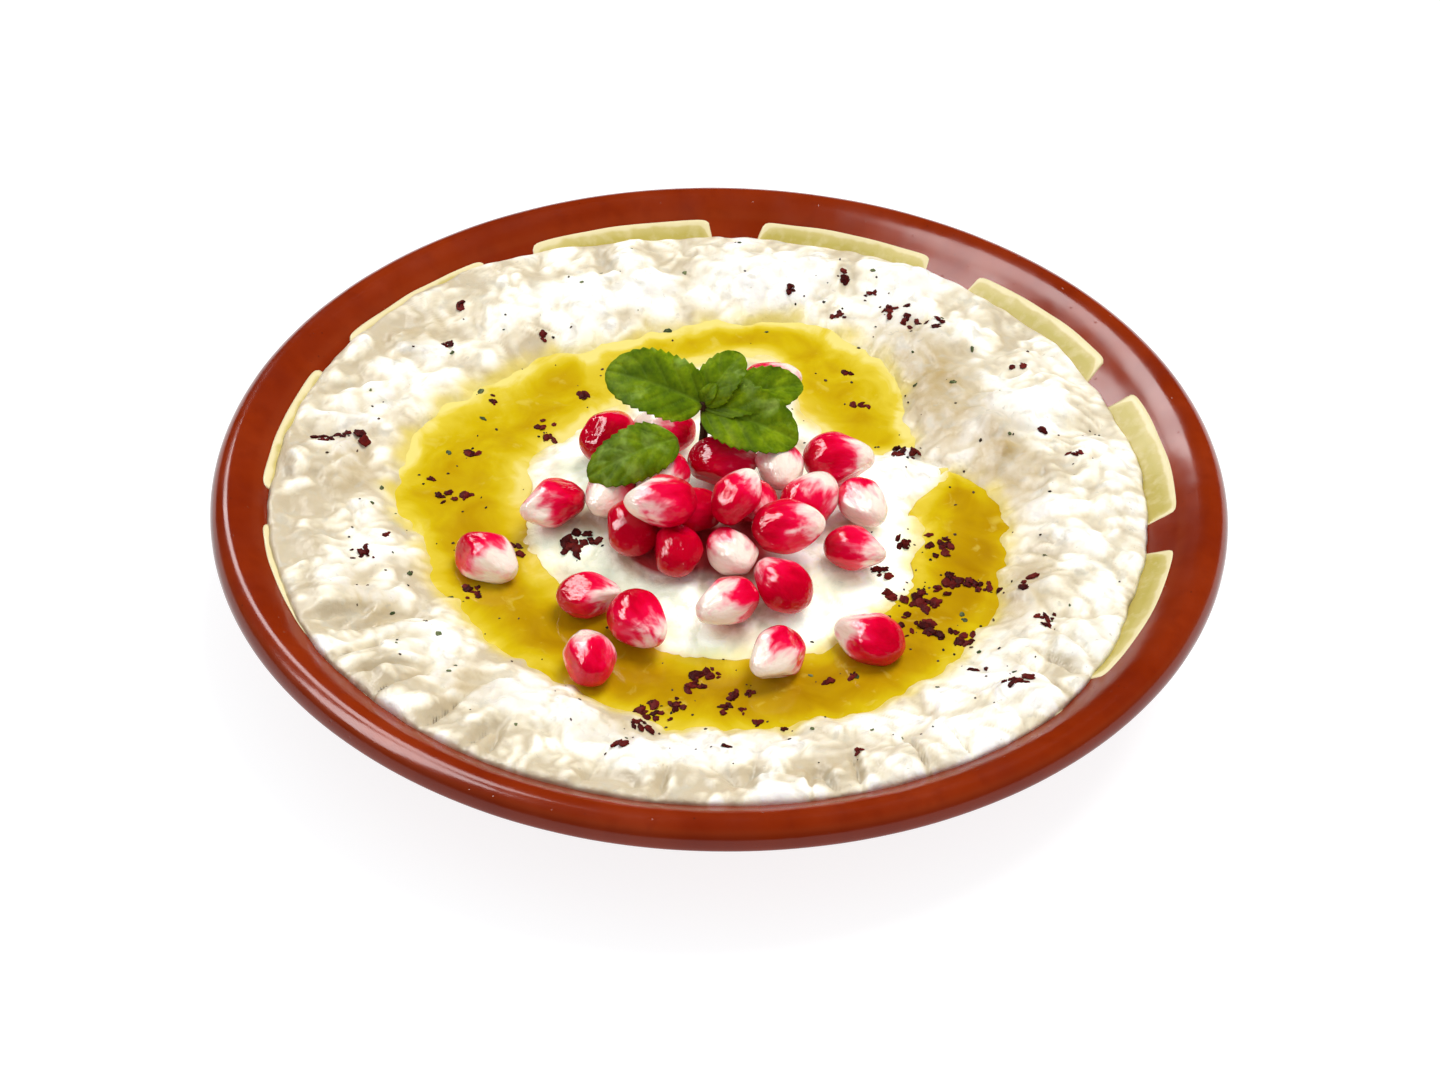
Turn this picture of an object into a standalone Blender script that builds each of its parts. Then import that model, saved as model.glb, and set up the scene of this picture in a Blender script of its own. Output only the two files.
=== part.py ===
"""Baba ganoush in a glazed earthenware dish, with a ring of olive oil, pomegranate arils and mint.

Metres, +Z up. The origin is on the dish's axis, in the plane of its foot, and the side of the dish
that faces the diner is towards -Y. Every piece is one named object. Pieces that touch keep
CONTACT_GAP between them.
"""

import math

import bmesh
import bpy
from mathutils import Matrix, Vector, noise
from mathutils.bvhtree import BVHTree

MM = 0.001

# Driving dimensions of the dish
DISH_RADIUS = 95 * MM
DISH_HEIGHT = 28 * MM
RIM_SHOULDER = 4 * MM  # rounding between the rim's top and its outer band
RIM_BAND = 5.6 * MM  # height of the rim's outer band
RIM_FOOT = 1.4 * MM  # rounding under the band
WELL_RADIUS = 85.2 * MM  # where the inner wall meets the rim's inner slope
WELL_DEPTH = 18.1 * MM
WELL_POWER = 3.2  # how late the well's floor turns up into its wall
FLOOR_THICKNESS = 5 * MM
WALL_THICKNESS = 5.5 * MM
FOOT_RADIUS = 54 * MM
FOOT_WIDTH = 6.5 * MM
FOOT_RECESS = 1.5 * MM

# Driving dimensions of the food
CONTACT_GAP = 0.35 * MM
OIL_LEVEL = 20.5 * MM
OIL_DEPTH = 2.6 * MM
DIP_EDGE_THICKNESS = 1.2 * MM
RIDGE_RISE = 5.4 * MM
MOUND_RISE = 3.6 * MM
LUMP_HEIGHT = 0.7 * MM
LUMP_SIZE = 11 * MM
ARIL_LENGTH = 12.3 * MM
ARIL_WIDTH = 9.9 * MM
ARIL_THICKNESS = 8.7 * MM
LEAF_THICKNESS = 0.5 * MM
STEM_RADIUS = 0.65 * MM

# Fineness of the facets
SECTORS = 60
WELL_BANDS = 6
WALL_BANDS = 4
MOUND_ROWS = 6
RIDGE_ROWS = 7
BED_ROWS = 4
LEAF_ROWS = 7
CHANNEL_ROWS = (0.08, 0.36, 0.64, 0.92)  # shares of the channel's width: the oil spans first to last

# The channel that holds the oil, as radii in mm at every 15 degrees from +X, anticlockwise
CHANNEL_INNER = (
    (38, 44, 33, 29, 31, 45)
    + (46, 41, 36, 35, 36, 38)
    + (38, 38, 40, 39, 36, 42)
    + (45, 46, 44, 43, 43, 39)
)
CHANNEL_OUTER = (
    (53, 45, 41, 49, 56, 58)
    + (56, 54, 54, 56, 60, 61)
    + (60, 56, 56, 57, 56, 60)
    + (63, 62, 62, 60, 57, 54)
)

# Where the dip meets the wall, as radii in mm at every 15 degrees from +X, anticlockwise
DIP_EDGE = (
    (79.3, 79.6, 80.5, 80.9, 81, 81)
    + (81, 81, 81, 81.3, 82, 82.6)
    + (83, 83.8, 84.6, 84.9, 85, 85)
    + (85, 85, 84.8, 83, 80, 79.2)
)
BRIDGE_ANGLE = 21  # where a bridge of dip interrupts the channel
BRIDGE_HALF_ANGLE = 3
BRIDGE_TAPER = 9
BRIDGE_RISE = 1.2 * MM

# Arils, in the order in which they are laid: x and y in mm, the way the pale tip points and how far it
# is raised, both in degrees
LOOSE_ARILS = (
    (-43, -19.5, 320, 0),
    (-24, -31, 0, 5),
    (-14.5, -38, 305, 0),
    (-22.5, -48, 100, 0),
    (11, -46, 235, 0),
    (28, -40.5, 150, 0),
    (9, 29, 20, 0),
)
BOTTOM_ARILS = (
    (-30.5, -7.5, 212, 5),
    (-21.5, 10.5, 60, 0),
    (-20, -6, 240, 5),
    (-16, -16, 75, 0),
    (-7.5, -21.5, 100, 0),
    (0, -22.5, 285, 15),
    (10, -20.5, 5, 5),
    (22.8, -18.5, 340, 5),
    (2, -33.5, 225, 10),
    (12, -30.5, 130, 10),
    (26.5, -6.5, 295, 5),
    (16.5, -9.5, 60, 10),
    (-11, 12.5, 165, 0),
    (-13, -3, 250, 0),
    (-2, 0.5, 5, 0),
    (9.5, -0.5, 275, 5),
    (19, 4.5, 5, 0),
    (-5.5, -11.5, 185, 0),
    (5.5, -10.5, 300, 0),
)
UPPER_ARILS = (
    (-8, -17, 195, 10),
    (4.5, -17, 60, 20),
)
SLIDE_LIMIT = 2.5 * MM  # how far an aril of the heap may slide to find a lower seat
DROP_HEIGHT = 60 * MM  # where each piece of the garnish starts on its way down

# The mint: how far each leaf starts to the right of, behind and above the top of the stem in mm, its
# heading, rise and roll in degrees, and its length and width in mm
SPRIG_AT = (-3.4, 7.5)
STEM_LENGTH = 9.4 * MM
STEM_OVERLAP = 0.6 * MM  # how far the stem reaches into its leaves' junction
SPRIG_LEAVES = (
    (0, 0, 0, 172, 18, -38, 19, 12.5),
    (0, 0, -0.5, 42, 42, 20, 12, 8),
    (0, 0, -1, 15, 8, 35, 19.5, 9),
    (0, 0, -1.5, -18, -5, 30, 18.5, 12.5),
    (0, 0, 0, 20, 62, 40, 4.5, 3),
)
FALLEN_LEAF = (-8, -0.5, 203, -10, -28, 18, 10.5)

EIGHT_WAYS = [math.radians(45 * i) for i in range(8)]


def metres(values):
    """The same lengths in metres."""
    return tuple(value * MM for value in values)


def around(values, angle):
    """The value at an angle in degrees of a list that runs once round, on a smooth curve."""
    step = 360 / len(values)
    index = int(angle % 360 / step)
    t = angle % 360 / step - index
    before, here, there, after = (values[(index + k) % len(values)] for k in (-1, 0, 1, 2))
    bend = 2 * before - 5 * here + 4 * there - after
    twist = 3 * (here - there) + after - before
    return here + 0.5 * t * (there - before + t * (bend + t * twist))


def smooth_step(low, high, value):
    """0 below low, 1 above high, and a smooth rise between them."""
    t = min(max((value - low) / (high - low), 0), 1)
    return t * t * (3 - 2 * t)


def arc(centre, radius, start, end, steps):
    """Points on an arc in the (radius, height) plane, from one angle to another in degrees."""
    turns = (math.radians(start + (end - start) * i / steps) for i in range(steps + 1))
    return [(centre[0] + radius * math.cos(a), centre[1] + radius * math.sin(a)) for a in turns]


# ---------------------------------------------------------------- the dish

FLOOR_HEIGHT = FOOT_RECESS + FLOOR_THICKNESS


def well_height(radius):
    """Height of the well's surface at a radius: a flat floor that turns up into a flared wall."""
    return FLOOR_HEIGHT + WELL_DEPTH * (radius / WELL_RADIUS) ** WELL_POWER


def underside_height(radius):
    """Height of the wall's underside, WALL_THICKNESS below the well along its normal."""
    slope = WELL_POWER * WELL_DEPTH / WELL_RADIUS * (radius / WELL_RADIUS) ** (WELL_POWER - 1)
    return well_height(radius) - WALL_THICKNESS * math.hypot(1, slope)


def dish_profile():
    """Half section of the dish, from the middle of the well, over the rim, to the middle of the foot."""
    radii = [WELL_RADIUS * (i / WELL_BANDS) ** 0.7 for i in range(WELL_BANDS + 1)]
    well = [(radius, well_height(radius)) for radius in radii]
    slope = [(89.3 * MM, 27.3 * MM), (90.2 * MM, 27.8 * MM)]
    shoulder = arc((DISH_RADIUS - RIM_SHOULDER, DISH_HEIGHT - RIM_SHOULDER), RIM_SHOULDER, 90, 0, 5)
    lip = arc((DISH_RADIUS - RIM_FOOT, DISH_HEIGHT - RIM_BAND + RIM_FOOT), RIM_FOOT, 0, -75, 2)
    inset = DISH_RADIUS - 4 * MM
    radii = [inset + (FOOT_RADIUS + 1 * MM - inset) * i / WALL_BANDS for i in range(WALL_BANDS + 1)]
    wall = [(radius, underside_height(radius)) for radius in radii]
    foot = [
        (FOOT_RADIUS, 1.2 * MM),
        (FOOT_RADIUS - 1 * MM, 0),
        (FOOT_RADIUS - FOOT_WIDTH, 0),
        (FOOT_RADIUS - FOOT_WIDTH - 1.2 * MM, FOOT_RECESS),
        (0, FOOT_RECESS),
    ]
    return well + slope + shoulder + lip + wall + foot


def turned(name, profile, material, collection):
    """A solid of revolution: a profile in the XZ plane with a Screw modifier."""
    mesh = bpy.data.meshes.new(name)
    mesh.from_pydata([(r, 0, z) for r, z in profile], [(i, i + 1) for i in range(len(profile) - 1)], [])
    body = place(name, mesh, material, collection)
    screw = body.modifiers.new("turn", "SCREW")
    screw.steps = SECTORS
    screw.render_steps = SECTORS
    screw.use_merge_vertices = True
    screw.merge_threshold = 0.00005
    screw.use_smooth_shade = True
    return body


# ---------------------------------------------------------------- the dip and its channel of oil


def channel(angle):
    """(inner radius, outer radius, depth) of the oil's channel at an angle in degrees."""
    away = abs((angle - BRIDGE_ANGLE + 180) % 360 - 180)
    open_share = smooth_step(BRIDGE_HALF_ANGLE, BRIDGE_HALF_ANGLE + BRIDGE_TAPER, away)
    depth = OIL_DEPTH * open_share - BRIDGE_RISE * (1 - open_share)
    return around(metres(CHANNEL_INNER), angle), around(metres(CHANNEL_OUTER), angle), depth


def dip_edge(angle):
    """Radius at which the dip meets the wall: up to the rim at the near side, and lower elsewhere."""
    return around(metres(DIP_EDGE), angle)


def lumps(radius, angle):
    """Soft lumps of the mashed dip, as a height."""
    a = math.radians(angle)
    return LUMP_HEIGHT * noise.noise(Vector((radius * math.cos(a), radius * math.sin(a), 0)) / LUMP_SIZE)


def dip_point(angle, zone, share):
    """(radius, height) of the dip's surface at an angle, part of the way out across one of its zones."""
    inner, outer, depth = channel(angle)
    edge = dip_edge(angle)
    if zone == "mound":
        radius = inner * share
        height = OIL_LEVEL + MOUND_RISE * (1 - share**2.2)
        return radius, height + lumps(radius, angle) * min(1, 4 * (1 - share))
    if zone == "channel":
        return inner + (outer - inner) * share, OIL_LEVEL - depth * (1 - (2 * share - 1) ** 2)
    radius = outer + (edge - outer) * share
    wall = well_height(edge) + CONTACT_GAP + DIP_EDGE_THICKNESS
    crown = math.sin(math.pi * share**0.85) ** 0.9
    rise = RIDGE_RISE * (1 + 0.18 * math.sin(math.radians(3 * angle + 40)))
    rise *= 1 - 0.45 * max(wall - OIL_LEVEL, 0) / (4 * MM)
    height = OIL_LEVEL + (wall - OIL_LEVEL) * share + rise * crown
    return radius, height + lumps(radius, angle) * min(1, 4 * share, 6 * (1 - share))


def ring_point(angle, radius, height):
    """A point at an angle in degrees round the dish's axis."""
    turn = math.radians(angle)
    return (radius * math.cos(turn), radius * math.sin(turn), height)


def dip(material, collection):
    """The dip: rings of points over its surface and back along its bed, which follows the well."""
    angles = [360 * i / SECTORS for i in range(SECTORS)]
    rows = [("mound", i / MOUND_ROWS) for i in range(1, MOUND_ROWS + 1)]
    rows += [("channel", share) for share in CHANNEL_ROWS + (1,)]
    rows += [("ridge", i / RIDGE_ROWS) for i in range(1, RIDGE_ROWS + 1)]
    rings = [[ring_point(angle, *dip_point(angle, *row)) for angle in angles] for row in rows]
    for share in (i / BED_ROWS for i in range(BED_ROWS, 0, -1)):
        radii = [dip_edge(angle) * share for angle in angles]
        rings.append([ring_point(a, r, well_height(r) + CONTACT_GAP) for a, r in zip(angles, radii)])
    shape = bmesh.new()
    made = [[shape.verts.new(point) for point in ring] for ring in rings]
    for inner, outer in zip(made, made[1:]):
        for i in range(SECTORS):
            j = (i + 1) % SECTORS
            shape.faces.new((inner[i], outer[i], outer[j], inner[j]))
    poles = ((made[0], dip_point(0, "mound", 0)[1]), (made[-1], FLOOR_HEIGHT + CONTACT_GAP))
    for ring, height in poles:
        pole = shape.verts.new((0, 0, height))
        for i in range(SECTORS):
            shape.faces.new((pole, ring[i], ring[(i + 1) % SECTORS]))
    bmesh.ops.recalc_face_normals(shape, faces=shape.faces)
    return finished("baba_ganoush", shape, material, collection)


def oil(material, collection):
    """The oil: sections across the channel, flat on top and following the dip below, joined in a ring."""
    step = 360 / SECTORS
    clear = BRIDGE_HALF_ANGLE + BRIDGE_TAPER * 0.6
    first = math.ceil((BRIDGE_ANGLE + clear) / step)
    last = math.floor((BRIDGE_ANGLE - clear + 360) / step)
    shape = bmesh.new()
    sections = []
    for angle in (step * i for i in range(first, last + 1)):
        bed = [dip_point(angle, "channel", share) for share in CHANNEL_ROWS]
        section = [(radius, OIL_LEVEL) for radius, _ in bed]
        section += [(radius, height + CONTACT_GAP) for radius, height in reversed(bed)]
        sections.append([shape.verts.new(ring_point(angle, *point)) for point in section])
    for here, there in zip(sections, sections[1:]):
        for i in range(len(here)):
            j = (i + 1) % len(here)
            shape.faces.new((here[i], there[i], there[j], here[j]))
    for section in (sections[0], sections[-1]):
        for i in range(len(CHANNEL_ROWS) - 1):
            shape.faces.new((section[i], section[i + 1], section[-2 - i], section[-1 - i]))
    bmesh.ops.recalc_face_normals(shape, faces=shape.faces)
    return finished("olive_oil", shape, material, collection)


# ---------------------------------------------------------------- arils and mint


def aril_shape(variety):
    """An aril on its own axes: a blunt crown towards -X that narrows to the tip at +X, with soft facets."""
    shape = bmesh.new()
    bmesh.ops.create_icosphere(shape, subdivisions=2, radius=1)
    size = 1 + 0.07 * math.sin(2.4 * variety)
    for vert in shape.verts:
        x, y, z = vert.co
        taper = 1 - 0.2 * smooth_step(-0.1, 1.0, x)
        facet = 1 + 0.04 * math.cos(5 * math.atan2(z, y) + variety)
        vert.co = (
            x * (1.06 if x > 0 else 0.94) * ARIL_LENGTH / 2 * size,
            y * taper * facet * ARIL_WIDTH / 2 * size,
            z * taper * facet * ARIL_THICKNESS / 2 * size,
        )
    return shape


def leaf_half_width(along, width):
    """Half the width of an oval leaf, a share of the way from its stalk to its tip."""
    return width / 2 * (0.08 + 0.92 * max(1 - abs(2 * along**0.92 - 1) ** 2.5, 0) ** 0.62)


def leaf_shape(length, width, droop=0.12, fold=0.25):
    """A closed leaf on its own axes: its stalk at the origin, its blade along +X, folded at the midrib."""
    shape = bmesh.new()
    sheets = []
    for face in (0.5, -0.5):
        rows = []
        for i in range(LEAF_ROWS + 1):
            along = i / LEAF_ROWS
            half = leaf_half_width(along, width)
            bow = 0.1 * length * math.sin(math.pi * along) - droop * length * along**2
            lift = bow + face * LEAF_THICKNESS
            across = ((k * half, lift + fold * abs(k) * half) for k in (-1, 0, 1))
            rows.append([shape.verts.new((along * length, y, z)) for y, z in across])
        sheets.append(rows)
    for rows in sheets:
        for here, there in zip(rows, rows[1:]):
            for k in range(2):
                shape.faces.new((here[k], there[k], there[k + 1], here[k + 1]))
    edge_up, edge_low = (
        [row[0] for row in rows] + [rows[-1][1]] + [row[2] for row in reversed(rows)] + [rows[0][1]]
        for rows in sheets
    )
    for i in range(len(edge_up)):
        j = (i + 1) % len(edge_up)
        shape.faces.new((edge_up[i], edge_up[j], edge_low[j], edge_low[i]))
    bmesh.ops.recalc_face_normals(shape, faces=shape.faces)
    return shape


def stem_shape():
    """The stem on its own axes, its top at the origin: it thickens a little towards its cut end."""
    shape = bmesh.new()
    bmesh.ops.create_cone(
        shape,
        cap_ends=True,
        segments=8,
        radius1=STEM_RADIUS * 1.15,
        radius2=STEM_RADIUS,
        depth=STEM_LENGTH + STEM_OVERLAP,
    )
    shape.transform(Matrix.Translation((0, 0, (STEM_OVERLAP - STEM_LENGTH) / 2)))
    return shape


def grown(shape, matrix):
    """A copy of a shape, grown by the gap all round and put in place."""
    spread = max(vert.co.length for vert in shape.verts)
    copy = shape.copy()
    copy.transform(matrix @ Matrix.Scale(1 + CONTACT_GAP / (0.62 * spread), 4))
    return copy


class Pile:
    """The surfaces laid so far. A piece comes down and stops CONTACT_GAP above the first it meets."""

    STEP = 0.5 * MM
    FINEST = 0.01 * MM
    SLIDE = 0.6 * MM

    def __init__(self):
        self.laid = []

    def add(self, body):
        """Adds an object's evaluated surface to the pile."""
        graph = bpy.context.evaluated_depsgraph_get()
        shape = bmesh.new()
        shape.from_object(body, graph)
        shape.transform(body.matrix_world)
        self.laid.append(BVHTree.FromBMesh(shape))
        shape.free()

    def touches(self, shape, turn, seat):
        """Whether the shape, grown by the gap, meets a surface when it is turned and put at a seat."""
        trial = grown(shape, Matrix.Translation(seat) @ turn)
        tree = BVHTree.FromBMesh(trial)
        trial.free()
        return any(tree.overlap(other) for other in self.laid)

    def settle(self, shape, turn, seat):
        """The lowest seat that the shape reaches in short slides, up to SLIDE_LIMIT from its first one."""
        first = seat
        while True:
            slides = [self.SLIDE * Vector((math.cos(a), math.sin(a), 0)) for a in EIGHT_WAYS]
            trials = [self.rest(shape, turn, *(seat + slide).xy, seat.z + 2 * MM) for slide in slides]
            lowest = min(trials, key=lambda trial: trial.z)
            if lowest.z > seat.z - 0.1 * MM or (lowest.xy - first.xy).length > SLIDE_LIMIT:
                return seat
            seat = lowest

    def rest(self, shape, turn, x, y, start):
        """Where the shape comes to rest when it is lowered from a height at (x, y)."""
        height = start
        while height > 0 and not self.touches(shape, turn, Vector((x, y, height - self.STEP))):
            height -= self.STEP
        low, high = height - self.STEP, height
        while high - low > self.FINEST:
            middle = (low + high) / 2
            if self.touches(shape, turn, Vector((x, y, middle))):
                low = middle
            else:
                high = middle
        return Vector((x, y, high))


def turn_of(heading, raised, rolled=0):
    """A turn that points +X along a heading, raises it and then rolls it about itself, all in degrees."""
    return (
        Matrix.Rotation(math.radians(heading), 4, "Z")
        @ Matrix.Rotation(math.radians(-raised), 4, "Y")
        @ Matrix.Rotation(math.radians(rolled), 4, "X")
    )


def arils(pile, pool, material, collection, guides):
    """Every aril, lowered onto the dip and the arils below it. The oil is cut away round each one."""
    surface = Pile()
    surface.add(pool)
    for number, (x, y, heading, raised) in enumerate(LOOSE_ARILS + BOTTOM_ARILS + UPPER_ARILS, 1):
        shape = aril_shape(number)
        turn = turn_of(heading, raised, 37 * number % 60 - 30)
        seat = pile.rest(shape, turn, x * MM, y * MM, DROP_HEIGHT)
        if number > len(LOOSE_ARILS):
            seat = pile.settle(shape, turn, seat)
        matrix = Matrix.Translation(seat) @ turn
        if surface.touches(shape, turn, matrix.translation):
            cut_away(pool, finished(f"hollow_{number:02d}", grown(shape, matrix), material, guides))
        body = finished(f"aril_{number:02d}", shape, material, collection)
        body.matrix_world = matrix
        bpy.context.view_layer.update()
        pile.add(body)


def sprig(pile, material, collection, guides):
    """The sprig of mint, one solid: its stem stands in the heap, its leaves grow from the stem's top."""
    pieces = [stem_shape()]
    for x, y, z, heading, rise, roll, length, width in SPRIG_LEAVES:
        leaf = leaf_shape(length * MM, width * MM)
        leaf.transform(Matrix.Translation(Vector((x, y, z)) * MM) @ turn_of(heading, rise, roll))
        pieces.append(leaf)
    whole = bmesh.new()
    for piece in pieces:
        mesh = bpy.data.meshes.new("piece")
        piece.to_mesh(mesh)
        whole.from_mesh(mesh)
    seat = pile.rest(whole, Matrix(), SPRIG_AT[0] * MM, SPRIG_AT[1] * MM, DROP_HEIGHT)
    whole.free()
    for piece in pieces:
        piece.transform(Matrix.Translation(seat))
    body = finished("mint_sprig", pieces[0], material, collection)
    for number, piece in enumerate(pieces[1:], 1):
        leaf = finished(f"leaf_{number}", piece, material, guides)
        leaf.hide_render = True
        leaf.display_type = "WIRE"
        join = body.modifiers.new(leaf.name, "BOOLEAN")
        join.operation = "UNION"
        join.solver = "EXACT"
        join.object = leaf
    bpy.context.view_layer.update()
    pile.add(body)


def fallen_leaf(pile, material, collection):
    """The leaf that lies apart on the heap."""
    x, y, heading, rise, roll, length, width = FALLEN_LEAF
    shape = leaf_shape(length * MM, width * MM)
    turn = turn_of(heading, rise, roll)
    shape.transform(Matrix.Translation(pile.rest(shape, turn, x * MM, y * MM, DROP_HEIGHT)) @ turn)
    finished("mint_leaf", shape, material, collection)


# ---------------------------------------------------------------- making objects


def place(name, mesh, material, collection):
    """An object for a mesh, with its material, in a collection."""
    mesh.materials.append(material)
    body = bpy.data.objects.new(name, mesh)
    collection.objects.link(body)
    return body


def finished(name, shape, material, collection):
    """An object from a bmesh, shaded smooth."""
    mesh = bpy.data.meshes.new(name)
    shape.to_mesh(mesh)
    shape.free()
    mesh.shade_smooth()
    return place(name, mesh, material, collection)


def cut_away(body, cutter):
    """Cuts one object's shape out of another, and hides the first."""
    cutter.hide_render = True
    cutter.display_type = "WIRE"
    cut = body.modifiers.new(cutter.name, "BOOLEAN")
    cut.operation = "DIFFERENCE"
    cut.solver = "EXACT"
    cut.object = cutter


def finish(name, colour, roughness, transmission=0.0):
    """A Principled material."""
    material = bpy.data.materials.new(name)
    material.use_nodes = True
    surface = material.node_tree.nodes["Principled BSDF"]
    surface.inputs["Base Color"].default_value = (*colour, 1)
    surface.inputs["Roughness"].default_value = roughness
    surface.inputs["Metallic"].default_value = 0
    surface.inputs["Transmission Weight"].default_value = transmission
    return material


def new_collection(name):
    """A collection linked to the scene."""
    made = bpy.data.collections.new(name)
    bpy.context.scene.collection.children.link(made)
    return made


def main():
    for body in list(bpy.data.objects):
        bpy.data.objects.remove(body)
    parts = new_collection("baba_ganoush_dish")
    guides = new_collection("guides")
    guides.hide_render = True
    glaze = finish("brown_glaze", (0.36, 0.05, 0.015), 0.2)
    cream = finish("dip", (0.86, 0.82, 0.72), 0.45)
    gold = finish("oil", (0.75, 0.55, 0.02), 0.05, 0.8)
    ruby = finish("aril", (0.6, 0.01, 0.04), 0.15)
    green = finish("mint", (0.08, 0.27, 0.01), 0.4)
    turned("dish", dish_profile(), glaze, parts)
    pile = Pile()
    pile.add(dip(cream, parts))
    pool = oil(gold, parts)
    arils(pile, pool, ruby, parts, guides)
    fallen_leaf(pile, green, parts)
    sprig(pile, green, parts, guides)


main()
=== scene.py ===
"""Looks of the dish of baba ganoush: glazed dish, lumpy dip, pool of oil, pomegranate arils, mint and sumac.

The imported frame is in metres, +Z up, with its origin under the middle of the dish, and -Y towards the diner.
A shape is a triple of points in mm, faces, and attributes that hold a value or a vector for each point. Meshes
are in metres.
"""

import math
import random

import bmesh
import bpy
import numpy as np
from mathutils import Matrix, Vector, noise


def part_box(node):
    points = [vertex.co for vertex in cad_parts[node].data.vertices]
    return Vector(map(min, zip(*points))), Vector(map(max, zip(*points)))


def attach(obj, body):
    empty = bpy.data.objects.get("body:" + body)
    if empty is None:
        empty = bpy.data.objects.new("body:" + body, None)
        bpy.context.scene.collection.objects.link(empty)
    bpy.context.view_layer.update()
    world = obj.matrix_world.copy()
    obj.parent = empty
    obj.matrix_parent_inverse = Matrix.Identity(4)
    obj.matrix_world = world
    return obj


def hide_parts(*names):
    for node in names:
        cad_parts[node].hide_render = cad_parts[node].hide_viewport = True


MM = 0.001

# The dish, in mm: its well, wall, rim and foot, and how uneven it is sideways, up and down, and in ripples
WELL_RADIUS = 85.2
WELL_DEPTH = 18.1
WELL_POWER = 3.2
FLOOR_HEIGHT = 6.5
WALL_THICKNESS = 5.5
RIM_SHOULDER = 4.0
RIM_BAND = 5.6
RIM_FOOT = 1.4
FOOT_RADIUS = 54
FOOT_WIDTH = 6.5
FOOT_RECESS = 1.5
DISH_SECTORS = 288
SWAY = 0.12
TILT = 0.09
RIPPLE = 0.035

# The cream marks: the middle of each bare gap between them, in degrees
MARK_GAPS = (-6.5, 25, 57, 88.5, 121, 153, 185, 218.5, 252, 286, 320)
MARK_HALF_GAP = 3.7
MARK_OUTER = 85.4
MARK_INNER = 72
MARK_HEIGHT = 0.22
MARK_SUNK = 0.06
MARK_COLUMNS = 60
MARK_ROWS = 22

# The dip and the oil, in mm. A list that runs round has a value every 15 degrees, from +X towards +Y.
OIL_LEVEL = 20.5
OIL_DEPTH = 2.6
OIL_LAP = 1.6
OIL_STEPS = 660
OIL_COLUMNS = 44
DIP_EDGE_THICKNESS = 1.3
RIDGE_RISE = 5.4
MOUND_RISE = 3.6
DIP_CELLS = 280
CHANNEL_INNER = (
    (38, 44, 33, 29, 31, 45)
    + (46, 41, 36, 35, 36, 38)
    + (38, 38, 40, 39, 36, 42)
    + (45, 46, 44, 43, 43, 39)
)
CHANNEL_OUTER = (
    (53, 45, 41, 49, 56, 58)
    + (56, 54, 54, 56, 60, 61)
    + (60, 56, 56, 57, 56, 60)
    + (63, 62, 62, 60, 57, 54)
)
DIP_EDGE = (
    (80.3, 80.5, 81.2, 81.7, 81.7, 81.7)
    + (81.7, 82.1, 83.6, 84.8, 84.3, 84.2)
    + (84.4, 84.7, 85.4, 85.9, 86, 86)
    + (86, 86, 85.9, 85.3, 82, 80.2)
)
BRIDGE_ANGLE = 21
BRIDGE_HALF_ANGLE = 3
BRIDGE_TAPER = 9
BRIDGE_RISE = 1.2

# Smears of browner dip: x, y, radius across and along in mm, heading in degrees, strength
SMEARS = (
    (-27, -7, 10, 19, 65, 0.7),
    (-15, -27, 7, 14, 155, 0.5),
    (41, 34, 12, 29, 111, 1.0),
    (53, 10, 9, 19, 98, 1.0),
    (56, -26, 6, 13, 75, 0.75),
    (-70, 8, 6, 20, 95, 0.6),
    (-62, -34, 6, 16, 125, 0.55),
    (-44, -56, 8, 14, 140, 0.5),
    (-18, -66, 6, 12, 170, 0.4),
    (-60, 44, 6, 14, 50, 0.45),
    (18, -76, 4, 8, 20, 0.45),
)

# The arils, in mm: their mean size, the flats where others pressed, how far round them the dip gets painted
# red bounce light and painted fill light, and how much of each one is pale, from its tip
ARIL_LENGTH = 12.3
ARIL_WIDTH = 9.9
ARIL_THICKNESS = 8.7
FLATS = 7
FLAT_SHARPNESS = 24
CROWD_REACH = 6.5
PALENESS = (
    (0.62, 0.5, 0.35, 0.75, 0.72, 0.62, 0.6)
    + (0.5, 0.2, 0.75, 0.12, 0.15, 0.7, 0.5, 0.45, 0.68, 0.4, 0.75, 0.75, 0.75, 0.7, 0.35, 0.8, 0.6, 0.3, 0.3)
    + (0.6, 0.5)
)

# The mint, as in the frame: how far each leaf starts from the top of the stem in mm, its heading, rise and
# roll in degrees, and its length and width in mm
SPRIG_AT = (-3.4, 7.5)
STEM_LENGTH = 9.4
STEM_RADIUS = 0.65
SPRIG_LEAVES = (
    (0, 0, 0, 172, 18, -38, 19, 12.5),
    (0, 0, -0.5, 42, 42, 20, 12, 8),
    (0, 0, -1, 15, 8, 35, 19.5, 9),
    (0, 0, -1.5, -18, -5, 30, 18.5, 12.5),
    (0, 0, 0, 20, 62, 40, 4.5, 3),
)
LOOSE_LEAF = (-8, -0.5, 203, -10, -28, 18, 10.5)
LEAF_ROWS = 60
LEAF_COLUMNS = 36
LEAF_THICKNESS = 0.42

# Flakes on the dip: how far apart its slope is measured in mm, and how far each one is lifted, as a share of
# its half thickness
SLOPE_STEP = 0.4
FLAKE_LIFT = 0.24

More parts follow.
